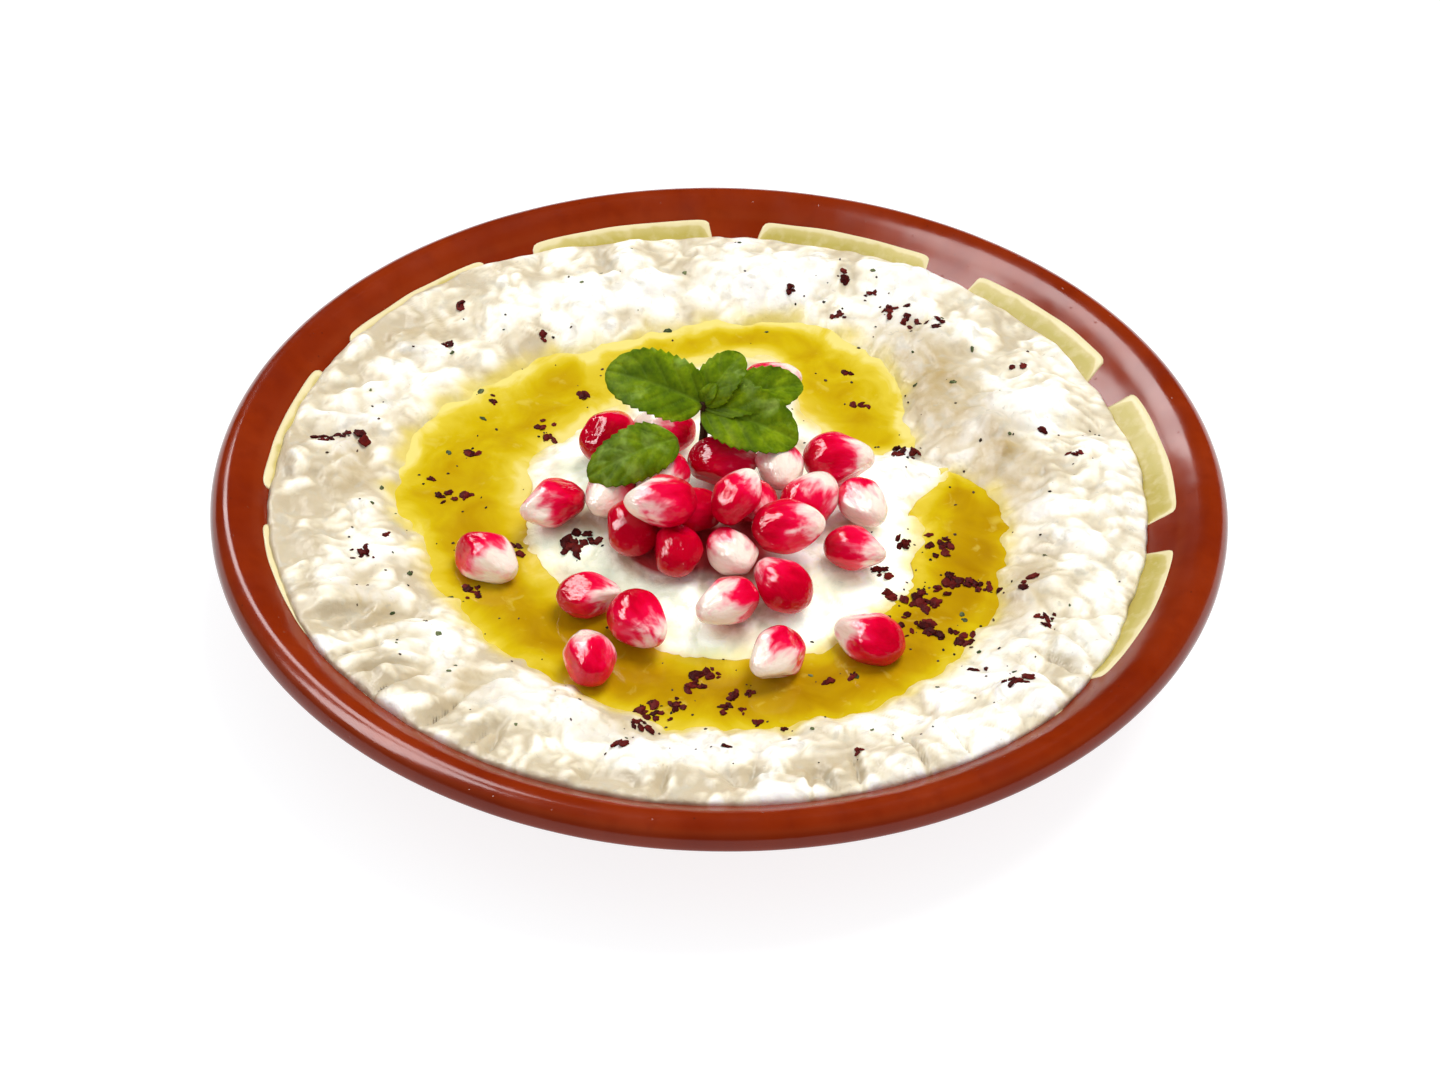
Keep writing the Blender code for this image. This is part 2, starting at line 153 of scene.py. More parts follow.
# Clusters of sumac: x, y, spread and flake size in mm, and a number that grows with the flakes
SUMAC = (
    (-74, 12.5, 2.6, 2.1, 8), (-65.4, -21.4, 1.6, 1.3, 6), (-52, 54, 0.8, 1.5, 2), (-54, 43, 1, 1.3, 3),
    (-35.7, 47.6, 0.6, 1.4, 2), (-34, 22.5, 1, 1.6, 4), (-33.3, 19, 0.9, 1.5, 3), (-43.6, 30, 0.6, 1.3, 2),
    (-27, 33, 0.9, 1.5, 3), (-47.4, 13.7, 0.8, 1.5, 3), (-54.7, 6, 0.7, 1.4, 2), (-51.3, 1, 1.1, 1.6, 4),
    (-47.7, 1.2, 0.8, 1.8, 3), (-61, -13, 0.8, 1, 2), (-27, -13.7, 1.6, 2, 7), (-23.5, -13.5, 1.2, 1.8, 4),
    (-38.5, -13, 1.6, 1.9, 6), (-44, -26.5, 1.3, 1.5, 5), (13.7, 62.3, 0.9, 1.5, 3), (23.8, 67, 1, 1.6, 4),
    (22.7, 57.3, 0.8, 1.4, 3), (29, 63, 0.7, 1.2, 2), (32.6, 57.7, 1, 1.5, 4), (36.5, 54.8, 1.7, 1.5, 6),
    (42.3, 51.3, 0.9, 1.4, 3), (57.7, 37.8, 0.7, 1.5, 2), (61.7, 18.3, 0.9, 1.5, 3),
    (66.6, 10, 0.7, 1.2, 2), (25.4, 40.7, 0.7, 1.4, 3), (27.6, 31, 0.8, 1.3, 3), (34.5, 15.5, 1.3, 1.8, 5),
    (37.5, 15.3, 0.9, 1.3, 2), (33.7, -11.8, 1.3, 1.6, 4), (29.8, -19.5, 1, 1.6, 3),
    (31.5, -25, 1, 1.6, 3), (41, -10.8, 1.8, 1.6, 8), (42.7, -22, 1.8, 1.9, 8), (37.3, -27, 1.8, 2.2, 9),
    (39.3, -34.5, 2.2, 2.2, 9), (33, -34, 2.5, 1.2, 4), (47.4, -21.5, 1.3, 1.7, 5),
    (44.5, -37.4, 1.6, 1.7, 6), (50, -22.5, 0.8, 1.4, 2), (56, -25.4, 1.4, 1.7, 5), (60, -34, 0.9, 1.3, 3),
    (59.7, -37, 0.8, 1.3, 2), (53, -53.5, 1.5, 1.8, 7), (47, -47, 0.7, 1.2, 2), (-4.2, -49.6, 1.4, 1.9, 6),
    (-0.8, -47.6, 1.2, 1.5, 4), (-11, -57.2, 1.7, 2, 7), (-6.8, -55.6, 1.2, 1.6, 4),
    (-13.5, -62, 1.4, 1.3, 4), (-12, -64, 0.8, 1.6, 2), (-17, -71.5, 1, 1.6, 3), (3, -52.7, 0.8, 1.5, 3),
    (5.7, -52.5, 0.9, 1.3, 3), (1.3, -56.5, 0.9, 1.4, 3), (4.8, -57, 0.7, 1.3, 2), (7.5, -60, 0.6, 1.4, 2),
    (20.1, -48.5, 0.7, 1.6, 2), (24.6, -47, 0.6, 1.3, 2), (2.2, -69, 0.6, 1.5, 2),
    (24.9, -71, 0.7, 1.3, 2), (12.5, -62.5, 0.6, 1.3, 2),
)

# The camera: how far it is raised and rolled in degrees, its distance and the height it looks at in metres,
# and how far its picture is shifted, as a share of the picture's width
CAMERA_RAISED = 39.56
CAMERA_ROLLED = 1.1
CAMERA_DISTANCE = 0.748
CAMERA_TARGET = 0.0257
CAMERA_SHIFT = -57 / 1440


# -------- sums shared by the shapes


def around(values, angle):
    """The value at each angle in degrees of a list that runs once round, on a smooth curve through it."""
    values = np.asarray(values, float)
    place = np.mod(angle, 360) / (360 / len(values))
    index = np.floor(place).astype(int)
    t = place - index
    before, here, there, after = (values[(index + k) % len(values)] for k in (-1, 0, 1, 2))
    bend = 2 * before - 5 * here + 4 * there - after
    twist = 3 * (here - there) + after - before
    return here + 0.5 * t * (there - before + t * (bend + t * twist))


def smooth_step(low, high, value):
    """0 up to low, 1 from high on, and a smooth rise between them. Low may be the larger of the two."""
    t = np.clip((value - low) / (high - low), 0, 1)
    return t * t * (3 - 2 * t)


def noise_over(x, y, size, seed=0):
    """Soft noise from -1 to 1 at each (x, y), with lumps of a size."""
    points = (Vector((a / size, b / size, seed * 7.3)) for a, b in zip(x.flat, y.flat))
    return np.array([noise.noise(point) for point in points]).reshape(x.shape)


def billows(x, y, size, octaves, seed=0):
    """Rounded lumps with creases between them at each (x, y), from 0 in a crease to about 1 on a lump."""
    points = (Vector((a / size, b / size, seed * 5.1)) for a, b in zip(x.flat, y.flat))
    return np.array([noise.turbulence(point, octaves, True) for point in points]).reshape(x.shape)


def ring_noise(angle, radius, size, seed=0):
    """Soft noise along a circle of a radius, at each angle in degrees."""
    turn = np.radians(angle)
    return noise_over(radius * np.cos(turn), radius * np.sin(turn), size, seed)


def polar(x, y):
    """(radius, angle in degrees) of each (x, y)."""
    return np.hypot(x, y), np.degrees(np.arctan2(y, x))


def well_height(radius):
    """Height of the dish's well at a radius."""
    return FLOOR_HEIGHT + WELL_DEPTH * (radius / WELL_RADIUS) ** WELL_POWER


# -------- meshes


def mesh_piece(name, points, faces, material, attributes=None):
    """An object from the points, faces and attributes of a shape, shaded smooth."""
    mesh = bpy.data.meshes.new(name)
    mesh.from_pydata((np.asarray(points, float) * MM).tolist(), [], faces)
    for label, values in (attributes or {}).items():
        values = np.asarray(values, np.float32)
        vector = values.ndim == 2
        layer = mesh.attributes.new(label, "FLOAT_VECTOR" if vector else "FLOAT", "POINT")
        layer.data.foreach_set("vector" if vector else "value", values.ravel())
    mesh.materials.append(material)
    mesh.shade_smooth()
    mesh.update()
    body = bpy.data.objects.new(name, mesh)
    bpy.context.scene.collection.objects.link(body)
    return body


def strips(first, second, closed=True):
    """Quads between two rows of point numbers of the same length."""
    pairs = list(zip(first, second))
    after = pairs[1:] + pairs[:1] if closed else pairs[1:]
    return [(a, b, c, d) for (a, d), (b, c) in zip(pairs, after)]


def edge_loop(numbers):
    """The point numbers once round the edge of a grid."""
    sides = (numbers[0, :-1], numbers[:-1, -1], numbers[-1, :0:-1], numbers[:0:-1, 0])
    return np.concatenate(sides).tolist()


def slab(x, y, first, second, values):
    """The shape of a closed slab on a grid of (x, y), between two sides at two heights.

    The first side faces up where the grid's rows follow each other along x and its columns along y.
    """
    points = [np.stack([x, y, height], -1).reshape(-1, 3) for height in (first, second)]
    numbers = np.arange(x.size).reshape(x.shape)
    faces = strips(edge_loop(numbers), edge_loop(numbers + x.size))
    for here, there in zip(numbers, numbers[1:]):
        faces += strips(there.tolist(), here.tolist(), closed=False)
        faces += strips((here + x.size).tolist(), (there + x.size).tolist(), closed=False)
    return np.vstack(points), faces, {label: np.tile(value.ravel(), 2) for label, value in values.items()}


def join(parts):
    """Several shapes as one. They all have the same attributes."""
    faces, start = [], 0
    for points, part_faces, _ in parts:
        faces += [tuple(start + i for i in face) for face in part_faces]
        start += len(points)
    values = {label: np.concatenate([part[2][label] for part in parts]) for label in parts[0][2]}
    return np.concatenate([part[0] for part in parts]), faces, values


# -------- materials


class Look:
    """A procedural material: a Principled surface and the nodes that drive it."""

    def __init__(self, name, **values):
        self.material = bpy.data.materials.new(name)
        self.material.use_nodes = True
        self.tree = self.material.node_tree
        self.surface = self.tree.nodes["Principled BSDF"]
        self.finish(**values)

    def put(self, socket, value):
        """Sets a socket to a value, or links another socket to it."""
        if isinstance(value, bpy.types.NodeSocket):
            self.tree.links.new(value, socket)
        else:
            socket.default_value = value

    def add(self, kind, inputs=(), **settings):
        """A node with its settings, and its inputs by name or number."""
        made = self.tree.nodes.new("ShaderNode" + kind)
        for key, value in settings.items():
            setattr(made, key, value)
        for key, value in dict(inputs).items():
            self.put(made.inputs[key], value)
        return made

    def object_place(self):
        """The place on the object, in metres."""
        return self.add("TexCoord").outputs["Object"]

    def attribute(self, name, vector=False):
        """A value or a vector that the mesh carries."""
        return self.add("Attribute", attribute_name=name).outputs["Vector" if vector else "Fac"]

    def noise(self, size, detail=3.0, roughness=0.5, distortion=0.0, place=None, stretch=(1, 1, 1)):
        """Noise from 0 to 1 with features of a size in metres, stretched along each axis."""
        scale = [share / size for share in stretch]
        scaled = self.add("Mapping", {"Vector": place or self.object_place(), "Scale": scale})
        inputs = {"Vector": scaled.outputs[0], "Scale": 1.0, "Detail": detail, "Roughness": roughness}
        return self.add("TexNoise", {**inputs, "Distortion": distortion}).outputs["Fac"]

    def spots(self, size):
        """Distance to the nearest of scattered points, about a size in metres apart."""
        scaled = self.add("Mapping", {"Vector": self.object_place(), "Scale": [1 / size] * 3})
        return self.add("TexVoronoi", {"Vector": scaled.outputs[0], "Scale": 1.0}).outputs["Distance"]

    def maths(self, operation, first, second):
        """One step of arithmetic."""
        return self.add("Math", {0: first, 1: second}, operation=operation).outputs[0]

    def between(self, value, low, high, to_low=0.0, to_high=1.0):
        """A value rescaled from one range to another, and kept in it."""
        inputs = {"Value": value, "From Min": low, "From Max": high, "To Min": to_low, "To Max": to_high}
        return self.add("MapRange", inputs, clamp=True).outputs[0]

    def ramp(self, value, *stops):
        """A colour from a row of (place, colour) stops."""
        made = self.add("ValToRGB", {"Fac": value})
        row = made.color_ramp.elements
        while len(row) < len(stops):
            row.new(1.0)
        for element, (place, colour) in zip(row, stops):
            element.position = place
            element.color = (*colour, 1)
        return made.outputs["Color"]

    def mix(self, share, first, second):
        """Two colours mixed by a share."""
        made = self.add("Mix", data_type="RGBA")
        for number, value in ((0, share), (6, first), (7, second)):
            self.put(made.inputs[number], (*value, 1) if isinstance(value, tuple) else value)
        return made.outputs[2]

    def bump(self, height, depth, strength=1.0, over=None):
        """A bump whose full height is a depth in metres."""
        inputs = {"Height": height, "Distance": depth, "Strength": strength}
        if over:
            inputs["Normal"] = over
        return self.add("Bump", inputs).outputs[0]

    def finish(self, **sockets):
        """Links or sets the surface's sockets and returns the material."""
        for socket, value in sockets.items():
            self.put(self.surface.inputs[socket.replace("_", " ")], value)
        return self.material


def brown_glaze():
    """Glossy red-brown glaze: cloudy in tone, lighter on edges, darkened on its outer band as painted shade,
    with fine specks and pinholes.
    """
    look = Look("brown_glaze", Specular_IOR_Level=0.2, IOR=1.5, Coat_Weight=0.12, Coat_Roughness=0.12)
    cloud = look.noise(0.022, detail=4, roughness=0.6)
    base = look.ramp(
        cloud,
        (0.3, (0.185, 0.014, 0.001)),
        (0.5, (0.225, 0.02, 0.0015)),
        (0.72, (0.27, 0.028, 0.003)),
    )
    runs = look.noise(0.004, detail=3, stretch=(1, 1, 0.25))
    base = look.mix(look.between(runs, 0.52, 0.75, 0, 0.35), base, (0.155, 0.011, 0.001))
    specks = look.between(look.spots(0.0021), 0.05, 0.11, 1, 0)
    gate = look.between(look.noise(0.006), 0.55, 0.62)
    base = look.mix(look.maths("MULTIPLY", specks, gate), base, (0.10, 0.012, 0.004))
    base = look.mix(look.maths("MULTIPLY", look.attribute("edge"), 0.3), base, (0.33, 0.06, 0.015))
    # painted shade: the rim's outer band under the shoulder is darkened
    base = look.mix(look.maths("MULTIPLY", look.attribute("under"), 0.5), base, (0.11, 0.008, 0.001))
    foot = look.attribute("foot")
    clay = look.ramp(look.noise(0.0015, detail=5), (0.3, (0.36, 0.13, 0.06)), (0.7, (0.50, 0.21, 0.11)))
    base = look.mix(foot, base, clay)
    rough = look.between(look.noise(0.009, detail=4), 0.3, 0.7, 0.13, 0.26)
    rough = look.maths("MAXIMUM", rough, look.maths("MULTIPLY", foot, 0.8))
    waves = look.bump(look.noise(0.012, detail=2), 0.0005, 0.35)
    pores = look.bump(look.between(look.spots(0.0032), 0.03, 0.09), 0.00012, 0.5, waves)
    return look.finish(Base_Color=base, Roughness=rough, Normal=pores)


def cream_glaze():
    """Cream slip, painted on by hand: pale cream at its outer edge, darkening to olive towards the well as
    painted shade from the dip.
    """
    look = Look("cream_glaze", Specular_IOR_Level=0.12)
    drift = look.between(look.noise(0.006, detail=3), 0.3, 0.7, -0.05, 0.05)
    # depth runs in from the mark's outer edge; the ramp's darkening to olive along it is painted shade
    depth = look.maths("ADD", look.attribute("depth"), drift)
    base = look.ramp(
        depth,
        (0.0, (0.80, 0.71, 0.43)),
        (0.1, (0.76, 0.66, 0.37)),
        (0.15, (0.60, 0.50, 0.18)),
        (0.3, (0.50, 0.41, 0.10)),
        (1.0, (0.47, 0.37, 0.09)),
    )
    strokes = look.noise(0.0022, detail=4, stretch=(1, 1, 0.4))
    base = look.mix(look.between(strokes, 0.5, 0.8, 0, 0.4), base, (0.82, 0.73, 0.46))
    base = look.mix(look.between(look.attribute("thin"), 0.6, 1, 0, 0.5), base, (0.45, 0.20, 0.06))
    rough = look.between(look.noise(0.005), 0.3, 0.7, 0.14, 0.28)
    return look.finish(Base_Color=base, Roughness=rough, Normal=look.bump(strokes, 0.0001, 0.5))


def dip_look():
    """Mashed, creamy dip: nearly white on its lumps, beige in its hollows (partly its own colour, partly
    painted shade), painted shade in its creases and towards the left, yellow where oil soaks in, and painted
    red bounce light and painted fill light round the arils.
    """
    look = Look(
        "aubergine_dip",
        Specular_IOR_Level=0.4,
        IOR=1.42,
        Subsurface_Weight=0.2,
        Subsurface_Radius=(1.0, 0.75, 0.45),
        Subsurface_Scale=0.0009,
        # the emission colour tints the painted fill light, greenish against the red bounce
        Emission_Color=(0.7, 1.0, 0.8, 1),
    )
    blotch = look.noise(0.013, detail=4, roughness=0.55, distortion=0.4)
    # hollow: beige in low-lying places, partly the dip's own colour and partly painted shade
    mottle = look.maths("ADD", look.attribute("hollow"), look.between(blotch, 0.3, 0.7, -0.14, 0.48))
    place = look.add("SeparateXYZ", {0: look.object_place()}).outputs
    # painted shade: darker towards the left, lighter towards the right and towards the back
    mottle = look.maths("ADD", mottle, look.between(place[0], -0.07, 0.05, 0.12, -0.06))
    mottle = look.maths("ADD", mottle, look.between(place[1], 0.0, 0.05, 0, -0.09))
    base = look.ramp(
        mottle,
        (0.36, (0.99, 0.98, 0.93)),
        (0.5, (0.95, 0.91, 0.79)),
        (0.66, (0.80, 0.72, 0.55)),
        (0.88, (0.58, 0.485, 0.33)),
    )
    patchy = look.between(look.noise(0.005, detail=4), 0.3, 0.62, 0.6, 1)
    base = look.mix(look.maths("MULTIPLY", look.attribute("smear"), patchy), base, (0.49, 0.36, 0.165))
    # painted shade in the creases
    base = look.mix(look.maths("MULTIPLY", look.attribute("crease"), 0.6), base, (0.60, 0.525, 0.39))
    grey = look.between(look.noise(0.0036, detail=4, distortion=0.6), 0.56, 0.7, 0, 0.6)
    base = look.mix(grey, base, (0.56, 0.52, 0.42))
    shreds = look.between(look.noise(0.0016, detail=3, distortion=1.2), 0.68, 0.74, 0, 0.5)
    base = look.mix(shreds, base, (0.46, 0.42, 0.33))
    base = look.mix(look.attribute("oily"), base, (0.76, 0.61, 0.10))
    # painted reflection: red light bounced between the arils, and the shade among them
    base = look.mix(look.attribute("painted_red_bounce"), base, (0.52, 0.008, 0.02))
    grain = look.noise(0.0011, detail=4, roughness=0.6)
    normal = look.bump(look.spots(0.0019), 0.0003, 0.35, look.bump(grain, 0.00035, 0.5))
    rough = look.between(look.noise(0.003), 0.3, 0.7, 0.28, 0.5)
    # painted light: the dip gives off faint fill light round the heap
    painted_fill_light = look.maths("MULTIPLY", look.attribute("painted_fill_light"), 0.36)
    return look.finish(Base_Color=base, Roughness=rough, Normal=normal, Emission_Strength=painted_fill_light)


def oil_look():
    """Olive oil: pale yellow where it is a film, gold where it is deep, with cloudy streaks."""
    look = Look("olive_oil", Specular_IOR_Level=0.28, IOR=1.47, Coat_Weight=0.1, Coat_Roughness=0.02)
    deep = look.maths("MULTIPLY", look.attribute("thickness"), 0.5)
    cloud = look.noise(0.011, detail=4, roughness=0.55, distortion=0.8)
    tone = look.maths("ADD", deep, look.between(cloud, 0.3, 0.75, -0.08, 0.36))
    tone = look.maths("ADD", tone, look.attribute("darker"))
    base = look.ramp(
        tone,
        (0.0, (0.80, 0.68, 0.20)),
        (0.15, (0.70, 0.54, 0.04)),
        (0.4, (0.59, 0.42, 0.004)),
        (0.68, (0.48, 0.285, 0.002)),
        (1.0, (0.36, 0.18, 0.001)),
    )
    curd = look.between(look.noise(0.0038, detail=4, distortion=0.7), 0.62, 0.74, 0, 0.35)
    base = look.mix(curd, base, (0.72, 0.58, 0.10))
    rough = look.between(look.noise(0.004), 0.3, 0.7, 0.05, 0.16)
    normal = look.bump(look.noise(0.006, detail=2), 0.0004, 0.4)
    return look.finish(Base_Color=base, Roughness=rough, Normal=normal)


def aril_look():
    """Juicy aril: clear dark red at its crown, streaking through pink to a milky tip."""
    look = Look(
        "pomegranate_aril",
        Roughness=0.1,
        Specular_IOR_Level=0.4,
        IOR=1.4,
        Coat_Weight=0.25,
        Coat_Roughness=0.05,
        Subsurface_Weight=0.35,
        Subsurface_Radius=(1.0, 0.25, 0.2),
        Subsurface_Scale=0.0022,
    )
    local = look.attribute("local", vector=True)
    along = look.add("SeparateXYZ", {0: local}).outputs[0]
    streaks = look.noise(0.62, detail=3, roughness=0.5, distortion=0.4, place=local, stretch=(0.4, 1, 1))
    clouds = look.noise(0.8, detail=3, distortion=0.6, place=local)
    pale = look.maths("MULTIPLY", along, 1.25)
    pale = look.maths("ADD", pale, look.between(streaks, 0.3, 0.7, -0.42, 0.42))
    pale = look.maths("ADD", pale, look.between(clouds, 0.3, 0.7, -0.45, 0.45))
    pale = look.maths("ADD", pale, look.attribute("paleness"))
    base = look.ramp(
        look.between(pale, -1.4, 1.8),
        (0.12, (0.52, 0.0, 0.015)),
        (0.34, (0.70, 0.0, 0.028)),
        (0.52, (0.80, 0.003, 0.055)),
        (0.59, (0.84, 0.10, 0.17)),
        (0.67, (0.93, 0.46, 0.47)),
        (0.8, (0.96, 0.79, 0.69)),
    )
    normal = look.bump(look.noise(0.5, detail=3, place=local, stretch=(0.5, 1, 1)), 0.0014, 0.5)
    return look.finish(Base_Color=base, Normal=normal)


def mint_look():
    """Mint leaf: deep green between pale veins, with painted highlight where its quilting rises and patches of
    painted sheen.
    """
    look = Look(
        "mint_leaf",
        Specular_IOR_Level=0.04,
        IOR=1.45,
        Subsurface_Weight=0.12,
        Subsurface_Radius=(0.4, 1.0, 0.1),
        Subsurface_Scale=0.0012,
    )
    patch = look.noise(0.0042, detail=4, roughness=0.6)
    base = look.ramp(
        patch,
        (0.3, (0.035, 0.07, 0.001)),
        (0.5, (0.10, 0.165, 0.001)),
        (0.7, (0.24, 0.33, 0.004)),
    )
    # painted highlight on the raised quilting
    base = look.mix(look.maths("MULTIPLY", look.attribute("bulge_highlight"), 0.4), base, (0.14, 0.225, 0.006))
    base = look.mix(look.maths("MULTIPLY", look.attribute("vein"), 0.4), base, (0.20, 0.31, 0.03))
    # painted sheen: pale glossy patches
    pale = look.between(look.noise(0.0055, detail=3, distortion=0.5), 0.56, 0.7, 0, 0.5)
    base = look.mix(pale, base, (0.34, 0.47, 0.10))
    base = look.mix(look.attribute("stem"), base, (0.06, 0.025, 0.015))
    cells = look.noise(0.0007, detail=3)
    base = look.mix(look.between(cells, 0.45, 0.7, 0, 0.3), base, (0.03, 0.07, 0.002))
    rough = look.between(look.noise(0.0013), 0.3, 0.7, 0.42, 0.6)
    return look.finish(Base_Color=base, Roughness=rough, Normal=look.bump(cells, 0.00012, 0.5))


def speck_look(name, dark, light):
    """Dried spice: each flake mottled between a dark and a lighter tone."""
    look = Look(name, Specular_IOR_Level=0.06, Roughness=0.6)
    tone = look.noise(0.0009, detail=4, roughness=0.65)
    base = look.ramp(look.maths("ADD", tone, look.attribute("tone")), (0.35, dark), (0.85, light))
    return look.finish(Base_Color=base, Normal=look.bump(look.noise(0.0004), 0.0002, 0.6))


def floor_look():
    """A plain floor, lit up from itself until it is nearly white, with a faint cloud in its tone."""
    look = Look("floor", Roughness=0.8, Specular_IOR_Level=0.0)
    pale = look.ramp(look.noise(0.6), (0.3, (0.34, 0.34, 0.34)), (0.7, (0.36, 0.36, 0.36)))
    return look.finish(Base_Color=pale, Emission_Color=(0.97, 0.99, 1.0, 1), Emission_Strength=0.83)


# -------- the dish


def arc(centre, radius, start, end, steps):
    """Points on an arc in the (radius, height) plane, from one angle to another in degrees."""
    turns = (math.radians(start + (end - start) * i / steps) for i in range(steps + 1))
    return [(centre[0] + radius * math.cos(a), centre[1] + radius * math.sin(a)) for a in turns]


def underside_height(radius):
    """Height of the wall's underside, the wall's thickness below the well along its normal."""
    slope = WELL_POWER * WELL_DEPTH / WELL_RADIUS * (radius / WELL_RADIUS) ** (WELL_POWER - 1)
    return well_height(radius) - WALL_THICKNESS * math.hypot(1, slope)


def dish_profile(outer, height):
    """Half section of the dish, from the middle of the well over the rim to the middle of the foot."""
    well = [(radius, well_height(radius)) for radius in np.linspace(0.5, WELL_RADIUS, 44)]
    slope = [(86, 25.2), (86.8, 25.76), (87.6, 26.3), (88.4, 26.8), (89.2, 27.26), (90.1, 27.7)]
    crest = [(91, height - 0.05)]
    shoulder = arc((outer - RIM_SHOULDER, height - RIM_SHOULDER), RIM_SHOULDER, 84, 0, 14)
    lip = arc((outer - RIM_FOOT, height - RIM_BAND + RIM_FOOT), RIM_FOOT, -8, -75, 6)
    foot, inside = FOOT_RADIUS, FOOT_RADIUS - FOOT_WIDTH
    wall = [(radius, underside_height(radius)) for radius in np.linspace(outer - 4, foot + 1, 22)]
    ring = [(foot + 0.15, 1.6), (foot, 0.9), (foot - 0.3, 0.25), (foot - 1, 0), (inside, 0)]
    recess = [(inside - 0.8, 0.4), (inside - 1.2, FOOT_RECESS), (24, FOOT_RECESS), (0.5, FOOT_RECESS)]
    return well + slope + crest + shoulder + lip + wall + ring + recess


def glaze_tones(points):
    """Attributes of the dish: where its glaze breaks on an edge, its outer band under the shoulder darkened as
    painted shade, and its bare foot.
    """
    radius, height = np.hypot(points[:, 0], points[:, 1]), points[:, 2]
    rim = smooth_step(93.2, 94.4, radius) * smooth_step(25.4, 26.6, height) * smooth_step(28, 27.6, height)
    brink = smooth_step(85.2, 86, radius) * smooth_step(88, 86, radius) * smooth_step(24, 25, height)
    # under: the outer band below the shoulder, which gets painted shade
    under = smooth_step(92.8, 94.5, radius) * smooth_step(27.4, 25.8, height)
    foot = smooth_step(0.9, 0.3, height) * smooth_step(46, 47.3, radius)
    return {"edge": rim + 0.5 * brink, "under": under, "foot": foot}


def make_dish(material):
    """The dish, turned from its profile, a little uneven as thrown ware is."""
    _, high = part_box("dish")
    profile = np.array(dish_profile(high.x / MM, high.z / MM))
    turns = np.radians(np.arange(DISH_SECTORS) * 360 / DISH_SECTORS)
    points = np.empty((len(profile), DISH_SECTORS, 3))
    wobble = ring_noise(np.degrees(turns), 95, 60, 3)
    uneven = TILT * (wobble - 1) + RIPPLE * ring_noise(np.degrees(turns), 95, 9, 4)
    for row, (radius, height) in enumerate(profile):
        share = smooth_step(60, 92, radius)
        spread = radius - SWAY * share * (1 + wobble)
        points[row, :, 0] = spread * np.cos(turns)
        points[row, :, 1] = spread * np.sin(turns)
        points[row, :, 2] = height + share * uneven
    numbers = np.arange(points[..., 0].size).reshape(len(profile), DISH_SECTORS).tolist()
    faces = []
    for here, there in zip(numbers, numbers[1:]):
        faces += strips(there, here)
    total = points[..., 0].size
    points = np.vstack([points.reshape(-1, 3), [(0, 0, FLOOR_HEIGHT), (0, 0, FOOT_RECESS)]])
    for i in range(DISH_SECTORS):
        j = (i + 1) % DISH_SECTORS
        faces.append((total, numbers[0][i], numbers[0][j]))
        faces.append((total + 1, numbers[-1][j], numbers[-1][i]))
    body = mesh_piece("glazed_dish", points, faces, material, glaze_tones(points))
    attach(body, "root")
    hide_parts("dish")


def mark(first, last, seed):
    """The shape of one cream mark between two angles, a thin pad on the well's wall."""
    across, down = np.meshgrid(np.linspace(-1, 1, MARK_COLUMNS + 1), np.linspace(0, 1, MARK_ROWS + 1))
    middle, half = (first + last) / 2, (last - first) / 2
    top = MARK_OUTER - 0.7 * np.abs(across) ** 30 + 0.22 * ring_noise(middle + half * across, 85, 9, seed)
    radius = top + (MARK_INNER - top) * down
    flare = 1 + (MARK_OUTER - radius) * 0.0125
    sway = 0.02 * noise_over(seed * 3.7 + np.sign(across), radius / 4, 1.0, seed)
    angle = np.radians(middle + half * across * (flare + sway))
    side = np.minimum(1 - np.abs(across), 0.12) / 0.12
    rise = MARK_HEIGHT * np.sqrt(np.clip(1 - (1 - side) ** 2, 0, 1)) * np.sqrt(np.clip(down / 0.06, 0, 1))
    rise *= 1 - 0.5 * smooth_step(0.15, 0.6, down)
    # depth: how far in from the outer edge, where the slip is darkened to olive as painted shade
    depth = np.clip((MARK_OUTER - radius) / 9, 0, 1) * side
    tones = {"depth": depth, "thin": 1 - np.sqrt(np.clip(side, 0, 1))}
    wall = well_height(radius)
    return slab(radius * np.cos(angle), radius * np.sin(angle), wall - MARK_SUNK, wall + rise, tones)


def make_marks(material):
    """The ring of cream marks round the wall of the well."""
    marks = []
    ends = (*MARK_GAPS[1:], MARK_GAPS[0] + 360)
    for number, (first, last) in enumerate(zip(MARK_GAPS, ends), 1):
        marks.append(mark(first + MARK_HALF_GAP, last - MARK_HALF_GAP, number))
    points, faces, attributes = join(marks)
    body = mesh_piece("cream_glaze_marks", points, faces, material, attributes)
    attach(body, "root")


# -------- the dip and the oil


def channel(angle):
    """(inner radius, outer radius, depth) of the oil's ragged channel at each angle in degrees."""
    away = np.abs(np.mod(angle - BRIDGE_ANGLE + 180, 360) - 180)
    open_share = smooth_step(BRIDGE_HALF_ANGLE, BRIDGE_HALF_ANGLE + BRIDGE_TAPER, away)
    inner = 1.5 * ring_noise(angle, 40, 7, 1) + 0.8 * ring_noise(angle, 40, 3, 2)
    outer = 2.2 * ring_noise(angle, 58, 8, 3) + 1.1 * ring_noise(angle, 58, 3, 4)
    depth = OIL_DEPTH * open_share - BRIDGE_RISE * (1 - open_share)
    return around(CHANNEL_INNER, angle) + inner, around(CHANNEL_OUTER, angle) + outer, depth


def dip_edge(angle):
    """Radius at which the dip meets the wall at each angle in degrees."""
    ragged = 0.7 * ring_noise(angle, 80, 12, 5) + 0.4 * ring_noise(angle, 80, 4, 6)
    return np.minimum(around(DIP_EDGE, angle) + ragged, WELL_RADIUS + 0.9)


